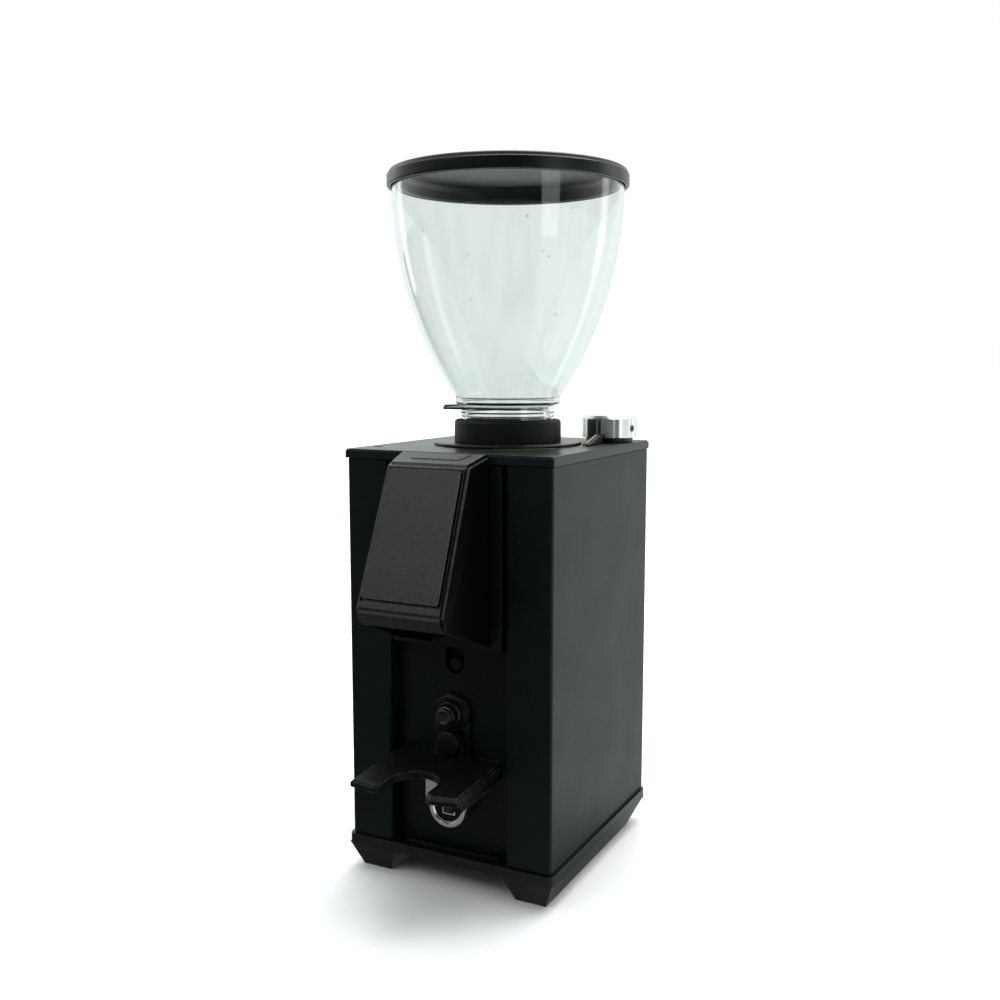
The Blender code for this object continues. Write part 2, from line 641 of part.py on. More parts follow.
def make_adjust_screw():
    place = (KNOB_X, KNOB_Y)
    rod = turned(bmesh.new(), rod_outline(2.8, 157, 243), place, 16)
    finish_object("adjust_screw", rod, "steel", origin=(KNOB_X, KNOB_Y, 157), smooth=True)
    bush = [(13.5, 232.0), (13.5, 233.9), (3.1, 233.9), (3.1, 222), (6.6, 222), (6.6, 232.0)]
    finish_object("adjust_bush", turned(bmesh.new(), bush, place, 24), "black_plastic", smooth=True)
    nut = [(KNOB_X + 6.5 * cos(pi * k / 3), KNOB_Y + 6.5 * sin(pi * k / 3)) for k in range(6)]
    nut_piece = finish_object("adjust_nut", prism(bmesh.new(), nut, 164.5, 170.5), "brass",
                              origin=(KNOB_X, KNOB_Y, 164.5))
    cut(nut_piece, turned(bmesh.new(), rod_outline(3.1, 160, 180), place, 16))


def lever_frame():
    """Local X runs from the burrs' axis towards the adjusting screw."""
    return Matrix.Translation((0, HOPPER_Y, 0)) @ Matrix.Rotation(LEVER_ANGLE, 4, "Z")


def in_lever_frame(bm):
    bmesh.ops.transform(bm, matrix=lever_frame(), verts=bm.verts)
    return bm


def make_lever():
    ring = arc((0, 0), 18, 20, 160, 8)
    lower = arc((0, 0), 18, 200, 340, 8)
    outline = ring + [(LEVER_PIVOT - 5, 6), (LEVER_PIVOT - 5, -6)] + lower
    outline += [(LEVER_REACH + 7, -6), (LEVER_REACH + 7, 6)]
    pivot = lever_frame() @ Vector((LEVER_PIVOT, 0, 162))
    lever = finish_object("adjust_lever", in_lever_frame(prism(bmesh.new(), outline, LEVER_LOW, LEVER_HIGH)),
                          "steel", origin=pivot)
    holes = turned(bmesh.new(), rod_outline(11.5, 150, 175), steps=24)
    turned(holes, rod_outline(3.8, 150, 175), (LEVER_REACH, 0), 16)
    cut(lever, in_lever_frame(holes))
    cut(lever, lever_pin_shape(1.8, 8))
    finish_object("lever_pin", lever_pin_shape(1.5, 10.5), "steel", smooth=True)
    bracket = finish_object("lever_bracket", in_lever_frame(lever_bracket_shape()), "steel")
    cut(bracket, lever_pin_shape(1.8, 14))


def lever_pin_shape(radius, half_length):
    bm = turned(bmesh.new(), rod_outline(radius, -half_length, half_length), steps=12,
                place=lambda x, y, z: (LEVER_PIVOT + x, z, 162 + y))
    return in_lever_frame(bm)


def lever_bracket_shape():
    """A U: a foot on the mounting plate and two cheeks beside the lever."""
    outline = [(-9.8, 153.4), (9.8, 153.4), (9.8, 166), (7.2, 166), (7.2, 155.2), (-7.2, 155.2),
               (-7.2, 166), (-9.8, 166)]
    return prism(bmesh.new(), outline, LEVER_PIVOT - 4, LEVER_PIVOT + 4, lambda a, b, c: (c, a, b))


def make_pointer():
    """A small wedge on the top plate that rises to the knob's dial edge."""
    tail, tip = Vector((47.0, 4.0)), Vector((44.6, 29.6))
    along = (tip - tail).normalized()
    across = Vector((along.y, -along.x))
    outline = [(0, 232.0), (25.5, 232.0), (25.5, 236.4), (22, 236.4), (3, 233.0), (0, 232.8)]
    bm = prism(bmesh.new(), outline, -2.2, 2.2,
               lambda a, b, c: (tail.x + along.x * a + across.x * c, tail.y + along.y * a + across.y * c, b))
    finish_object("knob_pointer", bm, "black_plastic")


# ---------------------------------------------------------------- burrs and motor

def ring_piece(name, finish, inner, outer, low, high, steps=COARSE, origin=None):
    bm = turned(bmesh.new(), tube_outline(inner, outer, low, high), (0, HOPPER_Y), steps)
    return finish_object(name, bm, finish, origin=origin or (0, 0, 0), smooth=True)


def make_grind_chamber():
    outline = [(6, CHAMBER_LOW), (CHAMBER_RADIUS, CHAMBER_LOW), (CHAMBER_RADIUS, CHAMBER_HIGH),
               (32.5, CHAMBER_HIGH), (32.5, CHAMBER_LOW + 6), (6, CHAMBER_LOW + 6)]
    bm = turned(bmesh.new(), outline, (0, HOPPER_Y), 32)
    chamber = finish_object("grind_chamber", bm, "cast_aluminium", smooth=True)
    join(chamber, block(bmesh.new(), (-14, -59.5, 170), (14, -29.5, 196)))
    cut(chamber, block(bmesh.new(), (-10, -70, 174), (10, -24, 192)))
    carrier = [(17, 214.3), (17, 205.5), (31.8, 205.5), (31.8, 214.3), (CHAMBER_RADIUS, 214.3),
               (CHAMBER_RADIUS, 218), (28, 219), (26, 226), (23, 226), (20, 216)]
    bm = turned(bmesh.new(), carrier, (0, HOPPER_Y), 32)
    finish_object("upper_burr_carrier", bm, "cast_aluminium", smooth=True)


def make_burrs():
    upper = [(17, 205.2), (BURR_RADIUS, 205.2), (BURR_RADIUS, 197.6), (24, 197.6), (17, 200)]
    finish_object("upper_burr", turned(bmesh.new(), upper, (0, HOPPER_Y), 32), "burr_steel", smooth=True)
    axis = (0, HOPPER_Y, 188)
    lower = [(17, 189), (BURR_RADIUS, 189), (BURR_RADIUS, 196.6), (24, 196.6), (17, 194.2)]
    finish_object("lower_burr", turned(bmesh.new(), lower, (0, HOPPER_Y), 32), "burr_steel", origin=axis,
                  smooth=True)
    sweep = lobed_outline((0, HOPPER_Y), 31.4, 2.4, 4, 32)
    carrier = finish_object("lower_burr_carrier", prism(bmesh.new(), sweep, 181, 188.7), "steel", origin=axis)
    cut(carrier, turned(bmesh.new(), rod_outline(SHAFT_RADIUS + GAP, 170, 200), (0, HOPPER_Y), 16))


def make_motor():
    axis = (0, HOPPER_Y, 24)
    shaft = turned(bmesh.new(), rod_outline(SHAFT_RADIUS, 24, 188), (0, HOPPER_Y), 20)
    finish_object("drive_shaft", shaft, "steel", origin=axis, smooth=True)
    bore = SHAFT_RADIUS + GAP
    ring_piece("rotor_core", "steel", bore, ROTOR_RADIUS, STATOR_LOW + 1, STATOR_HIGH - 1, origin=axis)
    ring_piece("stator_core", "steel", ROTOR_RADIUS + 0.8, STATOR_RADIUS, STATOR_LOW, STATOR_HIGH)
    windings = (("winding_lower", 57.4, STATOR_LOW - GAP), ("winding_upper", STATOR_HIGH + GAP, 121))
    for name, low, high in windings:
        outline = [(24, low + 2), (27, low), (35, low), (38, low + 2), (38, high - 2), (35, high), (27, high),
                   (24, high - 2)]
        finish_object(name, turned(bmesh.new(), outline, (0, HOPPER_Y), COARSE), "copper_wire", smooth=True)
    for name, closed, mouth in (("end_bell_lower", 42, 60), ("end_bell_upper", 146, 118)):
        wall = 3 if mouth > closed else -3
        outer, inner, seat = STATOR_RADIUS + 1, STATOR_RADIUS - 2, closed + 3.2 * wall
        outline = [(13, closed), (outer, closed), (outer, mouth), (inner, mouth), (inner, closed + wall),
                   (16, closed + wall), (16, seat), (13, seat)]
        bm = turned(bmesh.new(), outline, (0, HOPPER_Y), COARSE)
        finish_object(name, bm, "cast_aluminium", smooth=True)
    ring_piece("bearing_lower", "steel", bore, 12.6, 43, 51)
    ring_piece("bearing_upper", "steel", bore, 12.6, 137, 145)
    fan = lobed_outline((0, HOPPER_Y), 36, 16, 7, 56)
    blades = finish_object("cooling_fan", prism(bmesh.new(), fan, 28, 36), "black_plastic", origin=axis)
    cut(blades, turned(bmesh.new(), rod_outline(bore, 20, 45), (0, HOPPER_Y), 16))


def make_mount_plate():
    bm = block(bmesh.new(), (-58, -50, 150), (58, 62, 153))
    plate = finish_object("motor_mount_plate", bm, "steel")
    holes = turned(bmesh.new(), rod_outline(14, 140, 160), (0, HOPPER_Y), 20)
    turned(holes, rod_outline(5, 140, 160), (KNOB_X, KNOB_Y), 12)
    cut(plate, holes)


# ---------------------------------------------------------------- electrics

def make_electrics():
    can = [(0, 60), (13, 60), (13, 108), (12, 109), (0, 109)]
    finish_object("capacitor", turned(bmesh.new(), can, (-42, 49), 20), "pale_plastic", smooth=True)
    board = block(bmesh.new(), (-28, -52.2, 26), (28, -50.6, 62))
    finish_object("control_board", board, "board_green")
    body = finish_object("power_switch_body", block(bmesh.new(), (20.5, 67.2, 29.5), (39.5, 68.4, 54.5)),
                         "black_plastic")
    join(body, block(bmesh.new(), (23, 48, 32), (37, 68, 52)))
    cut(body, block(bmesh.new(), (24.6, 58, 33.2), (35.4, 75, 50.8)))
    rocker = [(63.0, 36), (67.6, 34.1), (69.0, 35.0), (67.6, 42), (67.9, 49.6), (63.4, 48.5)]
    bm = prism(bmesh.new(), rocker, 25.1, 34.9, lambda a, b, c: (c, a, b))
    finish_object("power_rocker", bm, "black_plastic", origin=(30, 65, 42))
    inlet = finish_object("power_inlet", block(bmesh.new(), (-16.5, 67.2, 28.5), (16.5, 68.6, 55.5)),
                          "black_plastic")
    join(inlet, block(bmesh.new(), (-14, 50, 31), (14, 68, 53)))
    cut(inlet, block(bmesh.new(), (-12, 54, 33.5), (12, 75, 50.5)))


clear_scene()
housing_middle = bpy.data.objects.new("housing_middle", None)
housing_middle.location = (0, BODY_Y * MM, 0)
bpy.context.scene.collection.objects.link(housing_middle)

make_base()
make_side_shell("side_shell_left", -1)
make_side_shell("side_shell_right", 1)
make_rear_panel()
make_front_panel()
make_crossbar_and_pin()
make_top_plate()
make_top_screws()
make_backplate()
make_spout_cover()
make_spout_front_panel()
make_chute()
make_start_button()
make_fork_mount()
make_fork()
make_fork_clamp()
make_hook_plate()
make_hopper()
make_gate()
make_lid()
make_collar()
make_adjust_knob()
make_adjust_screw()
make_lever()
make_pointer()
make_grind_chamber()
make_burrs()
make_motor()
make_mount_plate()
make_electrics()
print("lever turns", round(degrees(LEVER_ANGLE), 2), "degrees from +X; housing middle at y", round(BODY_Y, 2))
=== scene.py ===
# %% [markdown]
# # A burr coffee grinder, made piece by piece
# The working model of the grinder (its sizes, joints and inner parts) is loaded first and stays fixed.
# This lesson gives it its looks: rounded edges, moulded and turned shapes, and a finish for every part.
# A mesh of the working model could be edited in place, but then its joints and checks would no longer
# hold, so each visible part gets a new mesh that rides on the same body instead.
# Everything is in metres, +Z is up and -Y is the front with the spout and the fork.

# %% load the working model
import bpy
import bmesh
import json
from math import cos, pi, radians, sin, tan
from mathutils import Matrix, Vector

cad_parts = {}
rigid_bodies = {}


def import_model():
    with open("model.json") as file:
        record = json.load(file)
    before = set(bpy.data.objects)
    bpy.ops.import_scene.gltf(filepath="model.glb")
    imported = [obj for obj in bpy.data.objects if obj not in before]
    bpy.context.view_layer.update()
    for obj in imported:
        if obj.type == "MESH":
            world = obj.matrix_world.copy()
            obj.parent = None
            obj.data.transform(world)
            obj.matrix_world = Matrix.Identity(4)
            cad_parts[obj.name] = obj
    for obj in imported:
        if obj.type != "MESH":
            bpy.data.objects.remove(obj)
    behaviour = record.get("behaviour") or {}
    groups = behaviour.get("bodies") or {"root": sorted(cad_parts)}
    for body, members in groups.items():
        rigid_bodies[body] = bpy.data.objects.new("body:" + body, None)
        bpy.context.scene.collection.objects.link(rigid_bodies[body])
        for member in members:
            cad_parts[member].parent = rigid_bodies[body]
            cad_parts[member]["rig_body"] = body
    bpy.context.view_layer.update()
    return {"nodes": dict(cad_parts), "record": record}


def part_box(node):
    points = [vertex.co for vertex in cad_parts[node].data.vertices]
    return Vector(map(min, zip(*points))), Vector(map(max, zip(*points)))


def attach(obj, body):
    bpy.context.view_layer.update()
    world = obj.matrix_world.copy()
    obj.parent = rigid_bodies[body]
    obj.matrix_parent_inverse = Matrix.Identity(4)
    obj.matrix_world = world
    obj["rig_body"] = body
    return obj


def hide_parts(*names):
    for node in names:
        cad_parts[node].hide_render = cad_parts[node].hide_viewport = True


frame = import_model()
MM = 0.001

# %% [markdown]
# A few places are needed again and again, so they are read from the working model once:
# the middle of the housing, the hopper's axis and the knob's axis. A box of a node gives
# its lowest and highest corner, and the middle of a round part's box is its axis.

# %% measure the main places
def middle(node):
    low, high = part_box(node)
    return (low + high) / 2


HOUSING_Y = middle("side_shell_left").y
HOPPER_AXIS = middle("hopper_collar")
KNOB_AXIS = middle("adjust_knob")
BUTTON_AXIS = middle("button_boot")
print("hopper axis at y", round(HOPPER_AXIS.y, 4))
print("knob axis at", round(KNOB_AXIS.x, 4), round(KNOB_AXIS.y, 4))

# %% [markdown]
# ## The camera
# A product picture is taken from a little above the spout, 27 degrees round to the grinder's right,
# with a normal lens. Close perspective makes the hopper look generous, so the camera stands only
# about 60 centimetres away.

# %% place the camera
CAMERA_PLACE = Vector((0.2799, HOUSING_Y - 0.5506, 0.2771))
CAMERA_TURN = radians(27.197)
CAMERA_DIP = radians(7.104)
SENSOR_WIDTH = 36.0
LENS = 39.83
NEAREST_SEEN = 0.01

camera_data = bpy.data.cameras.new("camera")
camera_data.sensor_width = SENSOR_WIDTH
camera_data.lens = LENS
camera_data.clip_start = NEAREST_SEEN
camera = bpy.data.objects.new("camera", camera_data)
camera.location = CAMERA_PLACE
camera.rotation_euler = (pi / 2 - CAMERA_DIP, 0, CAMERA_TURN)
bpy.context.scene.collection.objects.link(camera)
bpy.context.scene.camera = camera
bpy.context.scene.view_settings.view_transform = "Standard"
print("camera at", [round(v, 3) for v in camera.location])

# %% [markdown]
# ## The studio
# Black things show only what they reflect. The studio is white behind the grinder and overhead, and
# dark in front of it, so the front stays black while the right side, seen at a slant, turns grey. A
# world shader can say this with one dot product: the direction a ray leaves in, against the direction
# in which the studio is brightest. The camera itself always sees plain white. A broad sun overhead,
# tipped a little to the front, lights the floor evenly out to the horizon.

# %% helpers for shader trees
def add_node(tree, kind, settings=None, **inputs):
    """Adds a shader node; inputs are named sockets, each a value or a socket to link from."""
    node = tree.nodes.new("ShaderNode" + kind)
    for key, value in (settings or {}).items():
        setattr(node, key, value)
    for key, value in inputs.items():
        plug(tree, value, node.inputs[key.replace("_", " ")])
    return node


def plug(tree, value, socket):
    if isinstance(value, bpy.types.NodeSocket):
        tree.links.new(value, socket)
    else:
        socket.default_value = value


def maths(tree, operation, first, second=0.0, clamp=False):
    node = tree.nodes.new("ShaderNodeMath")
    node.operation = operation
    node.use_clamp = clamp
    plug(tree, first, node.inputs[0])
    plug(tree, second, node.inputs[1])
    return node.outputs[0]


def vector_maths(tree, operation, first, second):
    """A number worked out from two vectors, such as their dot product or their distance."""
    node = tree.nodes.new("ShaderNodeVectorMath")
    node.operation = operation
    plug(tree, first, node.inputs[0])
    plug(tree, second, node.inputs[1])
    return node.outputs["Value"]


def spread(tree, value, low, high, to_low=0.0, to_high=1.0, smooth=False):
    """Maps low..high onto to_low..to_high, clamped."""
    kind = "SMOOTHSTEP" if smooth else "LINEAR"
    node = add_node(tree, "MapRange", {"interpolation_type": kind}, Value=value)
    for socket, number in zip(("From Min", "From Max", "To Min", "To Max"), (low, high, to_low, to_high)):
        plug(tree, number, node.inputs[socket])
    return node.outputs["Result"]


# %% the white and the dark side of the studio
BRIGHTEST = Vector((-0.35, 0.8, 0.52)).normalized()
DARK_BELOW = -0.75
WHITE_ABOVE = 0.85
DARK_LEVEL = 0.05
WALL_LEVEL = 1.06
STUDIO_TINT = (0.93, 1.0, 0.97, 1)
WHITE = (1, 1, 1, 1)

world = bpy.data.worlds.new("studio")
world.use_nodes = True
bpy.context.scene.world = world
tree = world.node_tree
tree.nodes.clear()
facing = vector_maths(tree, "DOT_PRODUCT", add_node(tree, "TexCoord").outputs["Generated"], BRIGHTEST)
level = spread(tree, facing, DARK_BELOW, WHITE_ABOVE, DARK_LEVEL, WALL_LEVEL, smooth=True)
seen = add_node(tree, "Background", Color=WHITE, Strength=1.0)
lighting = add_node(tree, "Background", Color=STUDIO_TINT, Strength=level)
choose = add_node(tree, "MixShader", Fac=add_node(tree, "LightPath").outputs["Is Camera Ray"])
tree.links.new(lighting.outputs[0], choose.inputs[1])
tree.links.new(seen.outputs[0], choose.inputs[2])
output = tree.nodes.new("ShaderNodeOutputWorld")
tree.links.new(choose.outputs[0], output.inputs["Surface"])
print("world nodes", len(tree.nodes))


# %% [markdown]
# Four area lights draw the long soft highlights: a strip on each side for the hopper and the rounded
# edges, a box above the spout, and one that lifts the right side. Their distance keeps them soft.

# %% soft boxes
def softbox(name, place, aim, width, height, power):
    """A rectangular area light that faces a point."""
    light = bpy.data.lights.new(name, "AREA")
    light.shape = "RECTANGLE"
    light.size = width
    light.size_y = height
    light.energy = power
    lamp = bpy.data.objects.new(name, light)
    lamp.location = place
    lamp.rotation_euler = (Vector(aim) - Vector(place)).to_track_quat("-Z", "Y").to_euler()
    bpy.context.scene.collection.objects.link(lamp)
    return lamp


softbox("right_strip", (0.75, 0.75, 0.55), (0, 0, 0.30), 0.20, 0.9, 0.75)
softbox("left_strip", (-0.95, 0.25, 0.55), (0, 0, 0.32), 0.16, 0.8, 0.6)
softbox("front_box", (-0.38, -1.05, 1.12), (0, 0, 0.20), 1.0, 0.5, 3.4)
softbox("right_box", (1.15, -0.45, 0.50), (0, 0, 0.25), 0.40, 0.8, 1.1)

# %% the broad sun overhead
SUN_SPREAD = radians(50)
SUN_TIP = radians(-20)

sun_light = bpy.data.lights.new("overhead_sun", "SUN")
sun_light.energy = 2.9
sun_light.angle = SUN_SPREAD
sun = bpy.data.objects.new("overhead_sun", sun_light)
sun.rotation_euler = (SUN_TIP, 0, 0)
bpy.context.scene.collection.objects.link(sun)
print("sun with energy", round(sun_light.energy, 2))

# %% [markdown]
# The floor is one pale sheet, large enough that no view sees its edge. The black parts mirror it, and
# only the part behind the grinder is lit for them: for every ray but the camera's the floor glows from
# dim in front to white at the back, just as the studio does, and a painted shadow darkens the glow close
# to the base. A lamp could not do that without a shadow edge, so the floor's own material gives off that
# light.

# %% the floor
FLOOR_REACH = 40.0
FLOOR_WHITE = (0.95, 0.955, 0.955)
FLOOR_GLOW_TINT = (0.90, 1.0, 0.96, 1)
FLOOR_LIT_WAY = Vector((0.45, 0.85, 0)).normalized()
DIM_UP_TO = -0.16
LIT_FROM = 0.14
DIM_LEVEL = 0.20
LIT_LEVEL = 1.05
NEAR_BASE = 0.06
CLEAR_OF_BASE = 0.13
NEAR_BASE_SHARE = 0.25


def plain_material(name, colour, roughness):
    material = bpy.data.materials.new(name)
    material.use_nodes = True
    shader = material.node_tree.nodes["Principled BSDF"]
    shader.inputs["Base Color"].default_value = (*colour, 1)
    shader.inputs["Roughness"].default_value = roughness
    return material


bm = bmesh.new()
bmesh.ops.create_circle(bm, cap_ends=True, segments=96, radius=FLOOR_REACH)
floor_mesh = bpy.data.meshes.new("floor")
bm.to_mesh(floor_mesh)
bm.free()
floor = bpy.data.objects.new("floor", floor_mesh)
floor_material = plain_material("pale_floor", FLOOR_WHITE, 0.8)
tree = floor_material.node_tree
floor_shader = tree.nodes["Principled BSDF"]
floor_shader.inputs["Specular IOR Level"].default_value = 0.0
floor_place = add_node(tree, "TexCoord").outputs["Object"]
back = vector_maths(tree, "DOT_PRODUCT", floor_place, FLOOR_LIT_WAY)
lit = spread(tree, back, DIM_UP_TO, LIT_FROM, DIM_LEVEL, LIT_LEVEL, smooth=True)
from_base = vector_maths(tree, "DISTANCE", floor_place, (0, HOUSING_Y, 0))
# a painted shadow: the glow falls to a quarter close to the base
painted_base_shadow = spread(tree, from_base, NEAR_BASE, CLEAR_OF_BASE, NEAR_BASE_SHARE, 1.0, smooth=True)
mirrored = add_node(tree, "Emission", Color=FLOOR_GLOW_TINT, Strength=maths(tree, "MULTIPLY", lit, painted_base_shadow))
by_ray = add_node(tree, "MixShader", Fac=add_node(tree, "LightPath").outputs["Is Camera Ray"])
tree.links.new(mirrored.outputs[0], by_ray.inputs[1])
tree.links.new(floor_shader.outputs[0], by_ray.inputs[2])
tree.links.new(by_ray.outputs[0], tree.nodes["Material Output"].inputs["Surface"])
floor_mesh.materials.append(floor_material)
bpy.context.scene.collection.objects.link(floor)
print("floor reaches", FLOOR_REACH, "m")

# %% [markdown]
# ## Effects that many finishes share
# Fine grain, edges with wear and a painted highlight, dust and finger marks turn up on almost every
# part, so each is one node group, made once. A group only gives out a mask or a height; the shader
# that uses it stays in the material, where its own values are set.

# %% a way to start a node group
def start_group(name, inputs, outputs):
    """A shader node group with named number sockets; returns its tree and its input node."""
    tree = bpy.data.node_groups.new(name, "ShaderNodeTree")
    for socket, value in inputs.items():
        made = tree.interface.new_socket(socket, in_out="INPUT", socket_type="NodeSocketFloat")
        made.default_value = value
    for socket in outputs:
        tree.interface.new_socket(socket, in_out="OUTPUT", socket_type="NodeSocketFloat")
    return tree, tree.nodes.new("NodeGroupInput").outputs


def finish_group(tree, **outputs):
    end = tree.nodes.new("NodeGroupOutput")
    for socket, value in outputs.items():
        tree.links.new(value, end.inputs[socket.replace("_", " ")])
    return tree


def object_place(tree):
    return add_node(tree, "TexCoord").outputs["Object"]


def noise(tree, scale, detail=2.0, rough=0.5, place=None):
    node = add_node(tree, "TexNoise", Scale=scale, Detail=detail, Roughness=rough)
    tree.links.new(place or object_place(tree), node.inputs["Vector"])
    return node.outputs["Fac"]


# %% moulded grain: the sparked texture of a plastic mould
def make_grain_group():
    tree, given = start_group("moulded_grain", {"Size": 0.0005, "Contrast": 1.0}, ["Height"])
    scale = maths(tree, "DIVIDE", 1.0, given["Size"])
    coarse = noise(tree, scale, 2.0)
    fine = noise(tree, maths(tree, "MULTIPLY", scale, 2.3), 1.0)
    mixed = maths(tree, "ADD", maths(tree, "MULTIPLY", coarse, 0.65), maths(tree, "MULTIPLY", fine, 0.35))
    centred = maths(tree, "SUBTRACT", mixed, 0.5)
    return finish_group(tree, Height=maths(tree, "MULTIPLY", centred, given["Contrast"]))


# %% worn edges and painted edge highlights: where rounding a corner would turn its normal
def make_edge_group():
    tree, given = start_group("wear_and_edge_sheen", {"Radius": 0.0008, "Amount": 1.0, "Patch Size": 0.01}, ["Mask"])
    rounded_normal = add_node(tree, "Bevel", {"samples": 4}, Radius=given["Radius"]).outputs["Normal"]
    flat_normal = add_node(tree, "NewGeometry").outputs["Normal"]
    alike = vector_maths(tree, "DOT_PRODUCT", rounded_normal, flat_normal)
    edge = spread(tree, alike, 0.99, 0.86)
    patches = noise(tree, maths(tree, "DIVIDE", 1.0, given["Patch Size"]), 4.0, 0.65)
    ragged = spread(tree, patches, 0.42, 0.68)
    # the mask marks real wear and also paints a highlight line along every edge
    wear_and_sheen = maths(tree, "MULTIPLY", maths(tree, "MULTIPLY", edge, ragged), given["Amount"], clamp=True)
    return finish_group(tree, Mask=wear_and_sheen)


# %% dust: a few pale specks, each a small random cell
def make_dust_group():
    tree, given = start_group("dust", {"Size": 0.0022, "Share": 0.12, "Amount": 0.5}, ["Mask"])
    cells = add_node(tree, "TexVoronoi", {"feature": "F1"}, Scale=maths(tree, "DIVIDE", 1.0, given["Size"]))
    tree.links.new(object_place(tree), cells.inputs["Vector"])
    speck = spread(tree, cells.outputs["Distance"], 0.13, 0.06)
    chosen = add_node(tree, "SeparateColor", Color=cells.outputs["Color"]).outputs["Red"]
    kept = maths(tree, "LESS_THAN", chosen, given["Share"])
    shown = maths(tree, "MULTIPLY", speck, kept)
    return finish_group(tree, Mask=maths(tree, "MULTIPLY", shown, given["Amount"]))


# %% finger marks: broad soft patches that change the gloss
def make_smudge_group():
    tree, given = start_group("finger_marks", {"Size": 0.03, "Amount": 0.1}, ["Change"])
    broad = noise(tree, maths(tree, "DIVIDE", 1.0, given["Size"]), 5.0, 0.6)
    centred = maths(tree, "SUBTRACT", broad, 0.5)
    return finish_group(tree, Change=maths(tree, "MULTIPLY", centred, given["Amount"]))


EFFECTS = {"moulded_grain": make_grain_group(), "wear_and_edge_sheen": make_edge_group(),
           "dust": make_dust_group(), "finger_marks": make_smudge_group()}
print("shared effects:", ", ".join(EFFECTS))


# %% how a material uses an effect
def effect(tree, name, **values):
    node = tree.nodes.new("ShaderNodeGroup")
    node.node_tree = EFFECTS[name]
    for socket, value in values.items():
        node.inputs[socket.replace("_", " ")].default_value = value
    return node.outputs[0]


def blend_colours(tree, factor, first, second):
    node = add_node(tree, "Mix", {"data_type": "RGBA"})
    tree.links.new(factor, node.inputs["Factor"])
    for socket, colour in ((node.inputs[6], first), (node.inputs[7], second)):
        plug(tree, colour if isinstance(colour, bpy.types.NodeSocket) else (*colour, 1.0), socket)
    return node.outputs[2]


def new_material(name, slot, colour, roughness, metallic=0.0):
    """A material with a plain shader; slot is the record's name for this finish."""
    material = plain_material(name, colour, roughness)
    material["slot"] = slot
    shader = material.node_tree.nodes["Principled BSDF"]
    shader.inputs["Metallic"].default_value = metallic
    return material, material.node_tree, shader


def bumped(tree, shader, height, depth):
    """Feeds a height into the shader's normal; depth is its full height in metres."""
    bump = add_node(tree, "Bump", Height=height, Strength=1.0, Distance=depth)
    tree.links.new(bump.outputs["Normal"], shader.inputs["Normal"])


# %% [markdown]
# ## The black finishes
# The grinder is black seven times over: a satin powder coat on the sheet metal and a glossier one on
# the top plate, the fork's thick coat, plain moulded plastic, the worn smooth plastic of the button,
# a coarser sparked plastic on the spout, and rubber. They differ in grain, gloss, how they wear and how
# much painted highlight their edges get, so one function makes them all from those few numbers.

# %% one function for every black finish
DARKER = 0.55
LIGHTER = 1.45
DUST_COLOUR = (0.45, 0.45, 0.43)


def black_finish(name, slot, colour, roughness, specular, grain, depth, wear_and_sheen_amount, wear_and_sheen_colour, dust, marks=0.12):
    """Grain is its size and depth its height, in metres; edges (wear and painted highlight), dust and marks
    say how strong each is.
    """
    material, tree, shader = new_material(name, slot, colour, roughness)
    shader.inputs["Specular IOR Level"].default_value = specular
    tone = effect(tree, "finger_marks", Size=0.014, Amount=1.2)
    varied = blend_colours(tree, maths(tree, "ADD", tone, 0.5, clamp=True),
                           [c * DARKER for c in colour], [c * LIGHTER for c in colour])
    # edge mask: real wear and painted edge highlights, both in the lighter edge colour
    wear_and_sheen = effect(tree, "wear_and_edge_sheen", Radius=0.0012, Amount=wear_and_sheen_amount, Patch_Size=0.005)
    specks = effect(tree, "dust", Size=0.0035, Share=0.10, Amount=dust)
    with_wear_and_sheen = blend_colours(tree, wear_and_sheen, varied, wear_and_sheen_colour)
    tree.links.new(blend_colours(tree, specks, with_wear_and_sheen, DUST_COLOUR), shader.inputs["Base Color"])
    gloss = maths(tree, "ADD", effect(tree, "finger_marks", Size=0.028, Amount=marks), roughness, clamp=True)
    tree.links.new(gloss, shader.inputs["Roughness"])
    bumped(tree, shader, effect(tree, "moulded_grain", Size=grain, Contrast=1.0), depth)
    return material


# %% painted shade on the spout's sides and painted light on its top
# painted shade for the spout's sides and painted light for its top
PAINTED_SIDE_SHADE = (0.0015, 0.0022, 0.002)
PAINTED_TOP_LIGHT = (0.055, 0.058, 0.057)


def paint_light_and_shade_by_direction(material):
    """Paints shade on the sides, which turn black with little specular, and paints light on upward faces,
    which turn pale grey.
    """
    tree = material.node_tree
    shader = tree.nodes["Principled BSDF"]
    facing = add_node(tree, "SeparateXYZ", Vector=add_node(tree, "TexCoord").outputs["Normal"])
    # the sides get painted shade: a black colour and little specular
    side = spread(tree, maths(tree, "ABSOLUTE", facing.outputs["X"]), 0.45, 0.85)
    front_and_top_colour = shader.inputs["Base Color"].links[0].from_socket
    # upward faces get painted light: a paler grey colour
    top_light_mask = spread(tree, facing.outputs["Z"], 0.75, 0.95)
    front_and_top_colour = blend_colours(tree, top_light_mask, front_and_top_colour, PAINTED_TOP_LIGHT)
    tree.links.new(blend_colours(tree, side, front_and_top_colour, PAINTED_SIDE_SHADE), shader.inputs["Base Color"])
    tree.links.new(spread(tree, side, 0, 1, 0.5, 0.05), shader.inputs["Specular IOR Level"])


